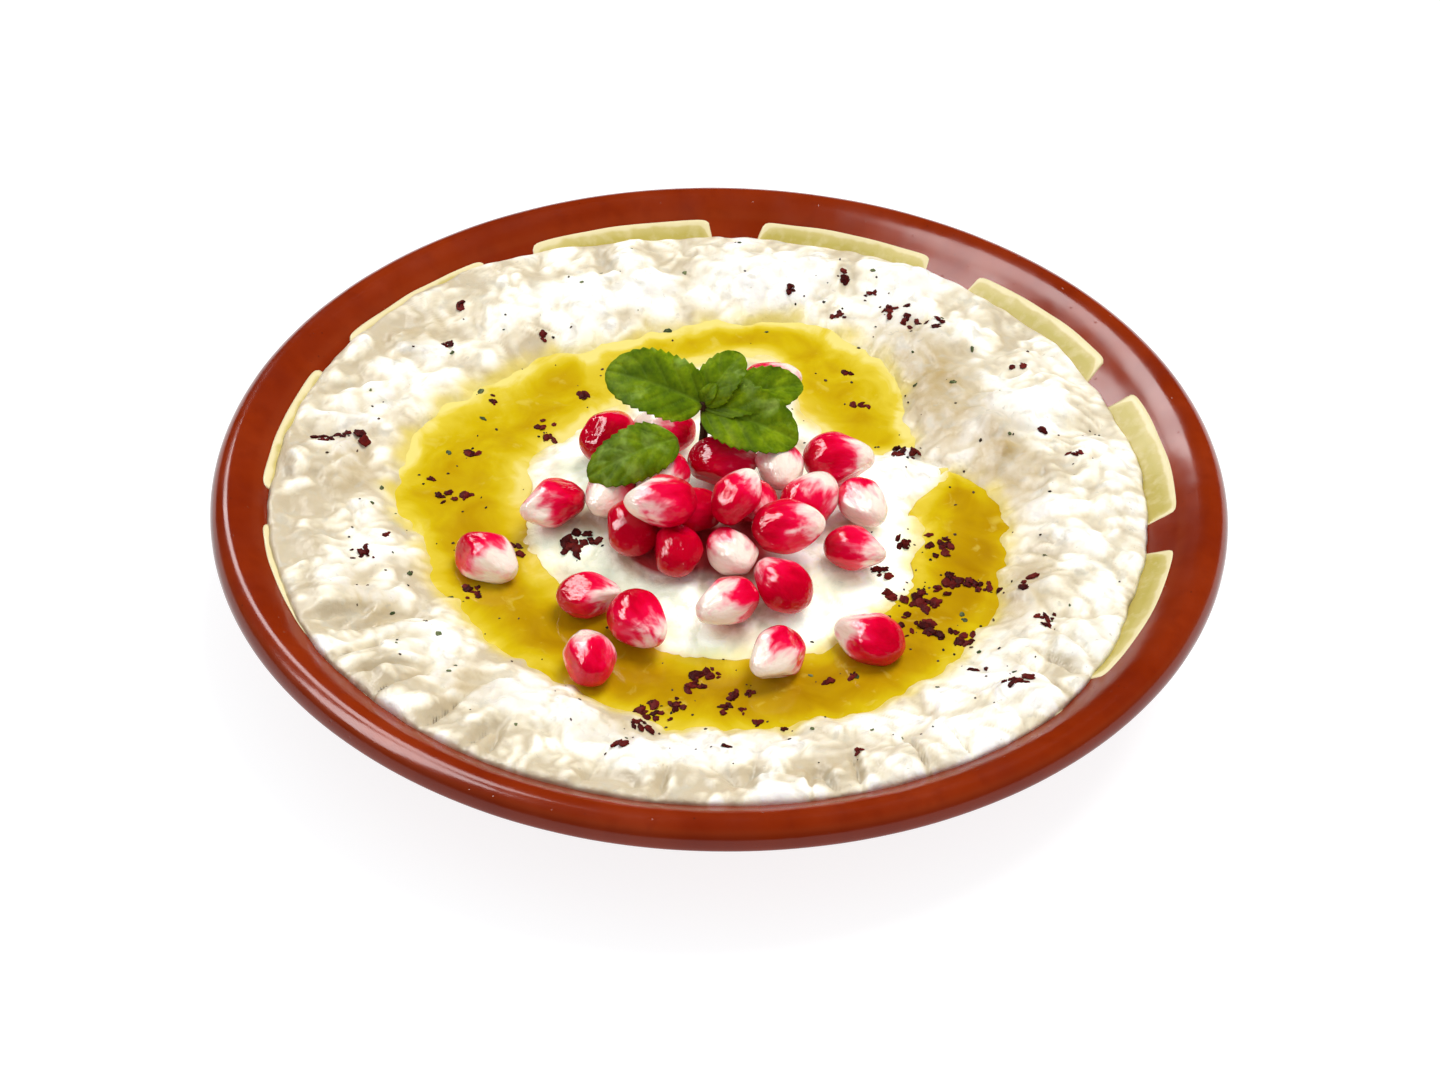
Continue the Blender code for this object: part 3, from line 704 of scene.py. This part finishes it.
def dip_form(radius, angle):
    """(height, share out across the ridge) of the dip's form, before its relief."""
    inner, outer, depth = channel(angle)
    edge = dip_edge(angle)
    mound = OIL_LEVEL + MOUND_RISE * (1 - np.clip(radius / inner, 0, 1) ** 2.2)
    across = np.clip((radius - inner) / (outer - inner), 0, 1)
    bed = OIL_LEVEL - depth * (1 - (2 * across - 1) ** 2)
    share = np.clip((radius - outer) / (edge - outer), 0, 1)
    wall = well_height(edge) + DIP_EDGE_THICKNESS
    crown = np.sin(math.pi * share**0.85) ** 0.9
    rise = RIDGE_RISE * (1 + 0.18 * np.sin(np.radians(3 * angle + 40)))
    rise = rise * (1 - 0.45 * np.maximum(wall - OIL_LEVEL, 0) / 4)
    ridge = OIL_LEVEL + (wall - OIL_LEVEL) * share + rise * crown
    height = np.where(radius < inner, mound, np.where(radius < outer, bed, ridge))
    last = np.clip((edge - radius) / 2.2, 0, 1)
    drop = DIP_EDGE_THICKNESS * (1 - np.sqrt(1 - (1 - last) ** 2))
    return height - drop, share


def dip_relief(x, y, share):
    """(height, hollow, crease) of the dip's lumps and folds: how high, how low-lying and how creased."""
    radius, angle = polar(x, y)
    bend_x = x + 2.2 * noise_over(x, y, 7, 11)
    bend_y = y + 2.2 * noise_over(x, y, 7, 12)
    soft = 1.7 * noise_over(x, y, 13)
    heaps = billows(bend_x, bend_y, 15, 1, 4)
    lumps = billows(bend_x, bend_y, 7.5, 2, 1)
    curds = billows(bend_x, bend_y, 3, 1, 2)
    folds = noise_over(radius / 30, angle * 80 / 57.3 / 7.0, 1.0, 5)
    folds = np.sqrt(np.minimum(np.abs(folds) * 4, 1))
    outside = smooth_step(0.1, 0.35, share)
    near = outside * smooth_step(-10, -45, y) * smooth_step(0.35, 0.75, share)
    relief = soft + (heaps - 0.3) * (0.7 + 2.6 * outside)
    relief += (lumps - 0.5) * (0.9 + 1.1 * outside - 0.45 * near)
    relief += (curds - 0.35) * (0.25 + 0.4 * outside) + 3.0 * (folds - 0.75) * near
    # crease: where the dip is darkened as painted shade
    crease = smooth_step(0.34, 0.06, lumps) * (0.3 + 0.35 * outside)
    crease = np.maximum(crease, near * smooth_step(0.55, 0.1, folds))
    # hollow drives beige that is partly the dip's own colour and partly painted shade
    hollow = np.clip(0.88 - 0.55 * heaps - 0.5 * lumps - 0.55 * curds + 0.5 * near * (0.75 - folds), 0, 1)
    # painted shade: the ridge's outer slope darker and its inner slope lighter, except on the right
    hollow += 0.34 * (smooth_step(0.35, 0.85, share) - 0.66) * outside * smooth_step(60, 20, x)
    return relief, np.clip(hollow, 0, 1), crease


def dip_surface(x, y):
    """(height, hollow, crease) of the dip's surface at each (x, y)."""
    radius, angle = polar(x, y)
    form, share = dip_form(radius, angle)
    relief, hollow, crease = dip_relief(x, y, share)
    inner, outer, _ = channel(angle)
    edge = dip_edge(angle)
    calm = np.clip((edge - radius) / 4, 0, 1) * (1 - 0.75 * smooth_step(0.5, 1.2, crowd_at(x, y)))
    bed = smooth_step(-1, 3, radius - inner) * smooth_step(-1, 3, outer - radius)
    return form + relief * calm * (1 - 0.7 * bed), hollow, crease


def crowd_at(x, y):
    """How closely arils stand round each (x, y): 1 at the middle of a lone one, and more within the heap."""
    apart = (np.hypot(x - middle[0], y - middle[1]) / CROWD_REACH for middle, _ in aril_frames)
    return sum(np.exp(-(distance**2)) for distance in apart)


def disc_grid(cells):
    """(x, y, quads, boundary) of a square grid bent into the unit disc, with cells of nearly equal area."""
    ticks = np.linspace(-1, 1, cells + 1)
    a, b = np.meshgrid(ticks, ticks)
    wide = np.abs(a) > np.abs(b)
    radius = np.where(wide, a, b)
    safe = np.where(radius == 0, 1, radius)
    turn = np.where(wide, math.pi / 4 * b / safe, math.pi / 2 - math.pi / 4 * a / safe)
    numbers = np.arange(a.size).reshape(a.shape)
    corners = (numbers[:-1, :-1], numbers[:-1, 1:], numbers[1:, 1:], numbers[1:, :-1])
    quads = np.stack([corner.ravel() for corner in corners], -1).tolist()
    return (radius * np.cos(turn)).ravel(), (radius * np.sin(turn)).ravel(), quads, edge_loop(numbers)


def smear_strength(x, y):
    """How browned the dip is at each (x, y), from the smears."""
    strength = np.zeros_like(x)
    for centre_x, centre_y, across, along, heading, most in SMEARS:
        turn = math.radians(heading)
        dx, dy = x - centre_x, y - centre_y
        u = (dx * math.cos(turn) + dy * math.sin(turn)) / along
        v = (dy * math.cos(turn) - dx * math.sin(turn)) / across
        strength = np.maximum(strength, most * smooth_step(1.15, 0.2, np.hypot(u, v)))
    return strength


def make_dip(material):
    """The dip: a fine grid for its surface, and a coarser one for the bed that lies on the well."""
    unit_x, unit_y, quads, loop = disc_grid(DIP_CELLS)
    _, angle = polar(unit_x, unit_y)
    edge = dip_edge(angle)
    x, y = unit_x * edge, unit_y * edge
    height, hollow, crease = dip_surface(x, y)
    radius = np.hypot(x, y)
    inner, outer, depth = channel(angle)
    shore = np.maximum(inner - radius, radius - outer)
    soak = smooth_step(5, -1, shore + 3.2 * noise_over(x, y, 5, 21) + 1.5 * noise_over(x, y, 2, 22))
    soak *= smooth_step(-1.3, 0.6, depth) * smooth_step(3.4, 0.6, height - OIL_LEVEL)
    hollow = hollow * np.where(radius < inner, 0.7, 1)
    crowd = crowd_at(x, y)
    # painted red bounce light and shade where arils crowd together
    painted_red_bounce = 0.95 * smooth_step(1.3, 1.55, crowd)
    # painted fill light round the heap, outside the thickest crowd of arils
    painted_fill_light = smooth_step(0.01, 0.2, crowd) * smooth_step(1.1, 0.5, crowd) * smooth_step(0, 3, inner - radius)
    top = np.stack([x, y, height], -1)
    bed_x, bed_y, bed_quads, bed_loop = disc_grid(DIP_CELLS // 4)
    bed_edge = 0.998 * dip_edge(polar(bed_x, bed_y)[1])
    bed_x, bed_y = bed_x * bed_edge, bed_y * bed_edge
    bed = np.stack([bed_x, bed_y, well_height(np.hypot(bed_x, bed_y)) + 0.03], -1)
    size = len(top)
    faces = [tuple(quad) for quad in quads]
    faces += [tuple(size + k for k in quad[::-1]) for quad in bed_quads]
    ratio = len(loop) // len(bed_loop)
    for i, low in enumerate(bed_loop):
        after = size + bed_loop[(i + 1) % len(bed_loop)]
        fan = [loop[(i * ratio + k) % len(loop)] for k in range(ratio + 1)]
        half = ratio // 2
        faces += [(fan[k + 1], fan[k], size + low) for k in range(half)]
        faces.append((fan[half], size + low, after))
        faces += [(fan[k + 1], fan[k], after) for k in range(half, ratio)]
    zeros = np.zeros(len(bed))
    attributes = {"hollow": hollow, "crease": crease, "painted_red_bounce": painted_red_bounce, "painted_fill_light": painted_fill_light}
    attributes.update({"smear": smear_strength(x, y), "oily": 0.85 * soak})
    attributes = {label: np.concatenate([values, zeros]) for label, values in attributes.items()}
    body = mesh_piece("aubergine_dip", np.vstack([top, bed]), faces, material, attributes)
    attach(body, "root")
    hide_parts("baba_ganoush")


def make_oil(material):
    """The oil: a level sheet that reaches just into the dip at its shores, over the bed of the channel."""
    bare = BRIDGE_HALF_ANGLE + 2
    angles = np.linspace(BRIDGE_ANGLE + bare, BRIDGE_ANGLE + 360 - bare, OIL_STEPS + 1)[:, None]
    inner, outer, _ = channel(angles)
    radius = inner - OIL_LAP + (outer - inner + 2 * OIL_LAP) * np.linspace(0, 1, OIL_COLUMNS + 1)
    turn = np.radians(angles)
    x, y = radius * np.cos(turn), radius * np.sin(turn)
    bed, _, _ = dip_surface(x, y)
    level = OIL_LEVEL + 0.04 * noise_over(x, y, 9, 31)
    offshore = np.minimum(radius - inner, outer - radius) + 1.5 * noise_over(x, y, 4, 32)
    thickness = np.clip((level - bed) / OIL_DEPTH, 0, 1) * (0.25 + 0.75 * smooth_step(-0.5, 4, offshore))
    floor = np.minimum(bed - 0.08, level - 0.12)
    darker = 0.2 * smooth_step(0, -45, y) * (0.4 + 0.6 * smooth_step(-45, -15, x))
    darker += 0.45 * smooth_step(40, 55, x) - 0.16 * smooth_step(0, 40, y)
    points, faces, attributes = slab(x, y, floor, level, {"thickness": thickness, "darker": darker})
    body = mesh_piece("olive_oil_pool", points, faces, material, attributes)
    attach(body, "root")
    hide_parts("olive_oil")


# -------- arils


def aril_frame(name):
    """(middle in mm, 3x3 axes) of an aril's solid: its long axis, towards the narrow tip, then its width."""
    points = np.array([vertex.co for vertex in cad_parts[name].data.vertices]) / MM
    points = np.unique(np.round(points, 3), axis=0)
    middle = points.mean(0)
    spread = points - middle
    _, _, axes = np.linalg.svd(spread, full_matrices=False)
    along = spread @ axes[0]
    girth = np.hypot(spread @ axes[1], spread @ axes[2])
    if girth[along > 2].mean() > girth[along < -2].mean():
        axes[0] = -axes[0]
    axes[2] = np.cross(axes[0], axes[1])
    reach = spread @ axes[0]
    return middle + axes[0] * (reach.max() + reach.min()) / 2, axes


def icosphere(level):
    """(points, faces) of a unit sphere of triangles."""
    shape = bmesh.new()
    bmesh.ops.create_icosphere(shape, subdivisions=level, radius=1)
    points = np.array([vertex.co[:] for vertex in shape.verts])
    faces = [tuple(vertex.index for vertex in face.verts) for face in shape.faces]
    shape.free()
    return points, faces


def aril_form(sphere, number):
    """An aril's surface on its own axes in mm: a blunt crown, pressed flats and a narrower tip at +X."""
    rng = random.Random(number)
    pressed = np.ones(len(sphere))
    for k in range(FLATS):
        turn, lean = math.radians(51.4 * k + rng.uniform(-20, 20)), rng.uniform(-0.55, 0.75)
        way = np.array([math.sin(lean), math.cos(lean) * math.cos(turn), math.cos(lean) * math.sin(turn)])
        pressed += np.maximum(sphere @ way / rng.uniform(0.8, 0.93), 0) ** FLAT_SHARPNESS
    x, y, z = (sphere * pressed[:, None] ** (-1 / FLAT_SHARPNESS)).T
    size = 1.04 * (1 + 0.07 * math.sin(2.4 * number))
    taper = 1 - 0.2 * smooth_step(-0.1, 1.0, x)
    across, down = sphere[:, 0] * 3 + sphere[:, 1] * 2.1, sphere[:, 2] * 3 - sphere[:, 1] * 1.7
    dents = noise_over(across, down, 1.6, number)
    form = np.stack([x * np.where(x > 0, 1.06, 0.94), y * taper, z * taper], -1)
    half = np.array([ARIL_LENGTH, ARIL_WIDTH, ARIL_THICKNESS]) / 2
    return form * (1 + 0.035 * dents[:, None]) * half * size


def make_arils(material):
    """Every aril, laid on the axes of its solid."""
    sphere, faces = icosphere(5)
    for number, (pale, (middle, axes)) in enumerate(zip(PALENESS, aril_frames), 1):
        form = aril_form(sphere, number)
        local = sphere + number * 10.0 * np.array([0, 1, 1])
        attributes = {"local": local, "paleness": np.full(len(form), 2.2 * pale - 1.1)}
        body = mesh_piece(f"pomegranate_aril_{number:02d}", form @ axes + middle, faces, material, attributes)
        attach(body, "root")
        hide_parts(f"aril_{number:02d}")


# -------- mint


def turn_of(heading, raised, rolled=0):
    """A turn that points +X along a heading, raises it and then rolls it about itself, all in degrees."""
    return (
        Matrix.Rotation(math.radians(heading), 3, "Z")
        @ Matrix.Rotation(math.radians(-raised), 3, "Y")
        @ Matrix.Rotation(math.radians(rolled), 3, "X")
    )


def leaf(length, width, seed, droop=0.12, fold=0.25, dome=0.0):
    """The shape of a leaf on its own axes: toothed, quilted between its veins and folded at its midrib."""
    along = np.linspace(0, 1, LEAF_ROWS + 1)[:, None] * np.ones((1, LEAF_COLUMNS + 1))
    across = np.ones((LEAF_ROWS + 1, 1)) * np.linspace(-1, 1, LEAF_COLUMNS + 1)[None, :]
    half = width / 2 * (0.08 + 0.92 * np.maximum(1 - np.abs(2 * along**0.92 - 1) ** 2.5, 0) ** 0.62)
    teeth = np.mod(along * max(length * 0.62, 3), 1) - 0.5
    out = np.abs(across)
    half = half * (1 + 0.1 * teeth * smooth_step(0.1, 0.25, along) * smooth_step(0.7, 1, out))
    pairs = max(length * 0.27, 2)
    phase = (along - 0.34 * out**1.15) * pairs + 0.12 * np.sign(across) + 0.1 * seed
    pillow = np.abs(np.sin(math.pi * phase)) ** 0.7
    lateral = np.exp(-((np.sin(math.pi * phase) / 0.16) ** 2))
    lateral *= smooth_step(0.03, 0.1, out) * smooth_step(0.98, 0.75, out)
    midrib = np.exp(-((across * half / 0.32) ** 2)) * (1 - 0.6 * along)
    vein = np.clip(np.maximum(lateral * 0.8, midrib), 0, 1)
    rim = 1 - out**4
    bow = 0.1 * length * np.sin(math.pi * along) - droop * length * along**2
    quilt = 0.026 * length * (pillow - 0.35) * rim * smooth_step(0.02, 0.3, out)
    quilt *= np.sin(math.pi * along) ** 0.5
    ruffle = 0.035 * length * np.sin(along * 9 + seed * 2 + across) * out**3
    lift = bow + fold * out * half - dome * width * out**2.2 + quilt + ruffle - 0.25 * midrib
    x, y = along * length, across * half
    body = LEAF_THICKNESS * (0.35 + 0.65 * rim) / 2
    # the quilting's rise is carried for painted highlight
    values = {"vein": vein, "bulge_highlight": np.clip(pillow * rim, 0, 1), "stem": 0.6 * smooth_step(0.05, 0, along)}
    return slab(x, y, lift + body, lift - body, values)


def stem(length, radius):
    """The shape of the stem on its own axes: square and ringed once, with its top near the origin."""
    rings, sides = 26, 16
    turns = np.arange(sides) * 2 * math.pi / sides
    points = []
    for i in range(rings + 1):
        down = i / rings
        girth = radius * (1 + 0.15 * down + 0.12 * math.exp(-(((down - 0.55) / 0.05) ** 2)))
        square = girth * (1 + 0.09 * np.cos(4 * turns))
        lean = 0.25 * math.sin(math.pi * down)
        depth = 0.4 - down * (length + 0.4)
        points += [(s * math.cos(a) + lean, s * math.sin(a), depth) for s, a in zip(square, turns)]
    numbers = np.arange(len(points)).reshape(rings + 1, sides).tolist()
    faces = []
    for here, there in zip(numbers, numbers[1:]):
        faces += strips(there, here)
    faces += [tuple(numbers[0]), tuple(reversed(numbers[-1]))]
    size = len(points)
    return np.array(points), faces, {"vein": np.zeros(size), "bulge_highlight": np.zeros(size), "stem": np.ones(size)}


def turned(shape, turn, start):
    """A shape turned and moved to a start in mm."""
    points, faces, attributes = shape
    return points @ np.array(turn).T + np.array(start), faces, attributes


def make_mint(material):
    """The sprig, on its stem in the heap, and the leaf that lies apart."""
    seat = np.array([*SPRIG_AT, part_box("mint_sprig")[0].z / MM + STEM_LENGTH])
    shapes = [turned(stem(STEM_LENGTH, STEM_RADIUS), Matrix.Identity(3), seat)]
    for number, (x, y, z, heading, rise, roll, length, width) in enumerate(SPRIG_LEAVES, 1):
        shape = leaf(length, width, number)
        shapes.append(turned(shape, turn_of(heading, rise, roll), seat + (x, y, z)))
    points, faces, attributes = join(shapes)
    sprig = mesh_piece("mint_sprig_leaves", points, faces, material, attributes)
    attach(sprig, "root")
    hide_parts("mint_sprig")
    x, y, heading, rise, roll, length, width = LOOSE_LEAF
    shape = leaf(length, width, 6, fold=0.12, dome=0.1)
    points, faces, attributes = turned(shape, turn_of(heading, rise, roll), (x, y, 0))
    points[:, 2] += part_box("mint_leaf")[0].z / MM - points[:, 2].min()
    loose = mesh_piece("mint_leaf_loose", points, faces, material, attributes)
    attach(loose, "root")
    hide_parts("mint_leaf")


# -------- spice


def top_surface(x, y):
    """Height of the dip, or of the oil over it, at each (x, y)."""
    height, _, _ = dip_surface(x, y)
    radius, angle = polar(x, y)
    inner, outer, _ = channel(angle)
    wet = (radius > inner - OIL_LAP) & (radius < outer + OIL_LAP) & (height < OIL_LEVEL)
    return np.where(wet, OIL_LEVEL, height)


def flake(sphere, rng, size, flat):
    """A crumpled flake on its own axes: a sphere's points pressed flat and pulled about."""
    shift = rng.uniform(0, 90)
    pull = np.array([1 + 0.55 * noise.noise(Vector(point) * 1.3 + Vector((shift, 0, 0))) for point in sphere])
    stretch = np.array([rng.uniform(0.75, 1.25), rng.uniform(0.5, 0.9), flat])
    crumple = np.array([noise.noise(Vector(point) * 2.1 + Vector((0, shift, 0))) for point in sphere])
    points = sphere * pull[:, None] * stretch
    points[:, 2] += 0.22 * crumple
    return points * size / 2


def scatter(name, places, rng, material, flat, level):
    """One piece of many flakes, each laid on the dip or the oil at its (x, y, size) and turned at random."""
    sphere, faces = icosphere(level)
    x, y, sizes = (np.array(column, float) for column in zip(*places))
    heights, east, north = top_surface(x, y), top_surface(x + SLOPE_STEP, y), top_surface(x, y + SLOPE_STEP)
    parts = []
    for i, size in enumerate(sizes):
        normal = Vector((heights[i] - east[i], heights[i] - north[i], SLOPE_STEP)).normalized()
        normal += Vector((rng.uniform(-0.25, 0.25), rng.uniform(-0.25, 0.25), 0))
        turn = normal.to_track_quat("Z", "Y").to_matrix() @ Matrix.Rotation(rng.uniform(0, 6.3), 3, "Z")
        points = flake(sphere, rng, size, flat)
        start = (x[i], y[i], heights[i] + FLAKE_LIFT * points[:, 2].max())
        tone = rng.uniform(-0.22, 0.22)
        parts.append(turned((points, faces, {"tone": np.full(len(points), tone)}), turn, start))
    points, faces, attributes = join(parts)
    body = mesh_piece(name, points, faces, material, attributes)
    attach(body, "root")


def random_places(rng, count, low, high, inside=0.0):
    """(x, y, size) of specks thrown evenly over the dip, outside an inner radius."""
    made = []
    while len(made) < count:
        x, y = rng.uniform(-80, 80), rng.uniform(-80, 80)
        if inside < math.hypot(x, y) < 77 and not in_heap(x, y):
            made.append((x, y, rng.uniform(low, high)))
    return made


def in_heap(x, y):
    """Whether a place is under the heap of arils."""
    return math.hypot((x + 1) / 30, (y + 8) / 25) < 1


def make_spice():
    """Sumac in clusters where it was sprinkled, dark specks all over, and a few shreds of herb."""
    rng = random.Random(11)
    flakes = []
    for x, y, spread, size, count in SUMAC:
        for _ in range(round(1.6 * count) + 1):
            place = (x + rng.gauss(0, spread * 0.75), y + rng.gauss(0, spread * 0.75))
            flakes.append((*place, size * rng.uniform(0.55, 1.3)))
    sumac = speck_look("sumac", (0.045, 0.003, 0.003), (0.17, 0.012, 0.009))
    scatter("sumac_flakes", flakes, rng, sumac, 0.34, 3)
    crumbs = random_places(rng, 150, 0.3, 0.75)
    for x, y, spread, _, count in SUMAC:
        for _ in range(count // 2):
            place = (x + rng.gauss(0, spread * 2 + 1), y + rng.gauss(0, spread * 2 + 1))
            crumbs.append((*place, rng.uniform(0.25, 0.7)))
    pepper = speck_look("dark_specks", (0.02, 0.012, 0.01), (0.13, 0.075, 0.05))
    scatter("dark_specks", crumbs, rng, pepper, 0.5, 2)
    herb = speck_look("herb_shreds", (0.05, 0.07, 0.025), (0.22, 0.25, 0.11))
    scatter("herb_shreds", random_places(rng, 46, 0.5, 1.6, 50), rng, herb, 0.22, 2)


# -------- studio


def make_floor():
    """A wide, pale floor."""
    ticks = np.linspace(-2500, 2500, 41)
    x, y = np.meshgrid(ticks, ticks)
    numbers = np.arange(x.size).reshape(x.shape)
    faces = []
    for here, there in zip(numbers, numbers[1:]):
        faces += strips(here.tolist(), there.tolist(), closed=False)
    points = np.stack([x, y, np.zeros_like(x)], -1).reshape(-1, 3)
    mesh_piece("floor", points, faces, floor_look())


def aim(body, place, height=0.02):
    """Puts a lamp or a camera at a place and points it at the dish's axis, at a height."""
    body.location = place
    body.rotation_euler = (Vector((0, 0, height)) - Vector(place)).to_track_quat("-Z", "Y").to_euler()
    bpy.context.scene.collection.objects.link(body)


def softbox(name, place, size, power, along):
    """A rectangular lamp that shows in gloss only. It faces the origin, its first side along a direction."""
    lamp = bpy.data.lights.new(name, "AREA")
    lamp.shape = "RECTANGLE"
    lamp.size, lamp.size_y = size
    lamp.energy = power
    body = bpy.data.objects.new(name, lamp)
    aim(body, place)
    away = Vector(place).normalized()
    side = (Vector(along) - away * away.dot(Vector(along))).normalized()
    body.rotation_euler = Matrix((side, away.cross(side), away)).transposed().to_euler()
    body.visible_diffuse = False


def make_light():
    """A soft sun from behind on the right, a window and a skylight on the left for gloss, a pale surround."""
    sun = bpy.data.lights.new("key", "SUN")
    sun.energy = 2.1
    sun.angle = math.radians(30)
    sun.color = (1.0, 0.985, 0.96)
    key = bpy.data.objects.new("key", sun)
    key.visible_glossy = False
    aim(key, (0.32, 0.3, 1.0))
    softbox("window", (-0.63, -0.1, 0.62), (0.4, 0.55), 11, (0, 1, 0))
    softbox("skylight", (-0.385, 0.34, 0.675), (0.82, 0.2), 7.2, (-0.2, 0.8, -0.44))
    world = bpy.data.worlds.new("surround")
    bpy.context.scene.world = world
    world.use_nodes = True
    background = world.node_tree.nodes["Background"].inputs
    background["Color"].default_value = (0.97, 0.985, 1.0, 1)
    background["Strength"].default_value = 0.74
    world.cycles_visibility.glossy = False


def make_camera():
    """A long lens, looking down across the table at the dish."""
    lens = bpy.data.cameras.new("camera")
    lens.lens = 100
    lens.sensor_width = 36
    lens.shift_y = CAMERA_SHIFT
    body = bpy.data.objects.new("camera", lens)
    raised = math.radians(CAMERA_RAISED)
    back, up = CAMERA_DISTANCE * math.cos(raised), CAMERA_DISTANCE * math.sin(raised)
    aim(body, (0, -back, CAMERA_TARGET + up), CAMERA_TARGET)
    body.rotation_euler.rotate_axis("Z", math.radians(CAMERA_ROLLED))
    bpy.context.scene.camera = body


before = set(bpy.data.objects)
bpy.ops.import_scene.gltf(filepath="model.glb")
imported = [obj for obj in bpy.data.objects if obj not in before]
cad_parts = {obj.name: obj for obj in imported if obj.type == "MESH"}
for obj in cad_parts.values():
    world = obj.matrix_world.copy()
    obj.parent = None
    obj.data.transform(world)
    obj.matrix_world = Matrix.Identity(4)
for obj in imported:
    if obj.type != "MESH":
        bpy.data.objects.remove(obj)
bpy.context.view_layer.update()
aril_frames = [aril_frame(f"aril_{number:02d}") for number in range(1, len(PALENESS) + 1)]
bpy.context.scene.view_settings.view_transform = "Standard"
make_dish(brown_glaze())
make_marks(cream_glaze())
make_dip(dip_look())
make_oil(oil_look())
make_arils(aril_look())
make_mint(mint_look())
make_spice()
make_floor()
make_light()
make_camera()
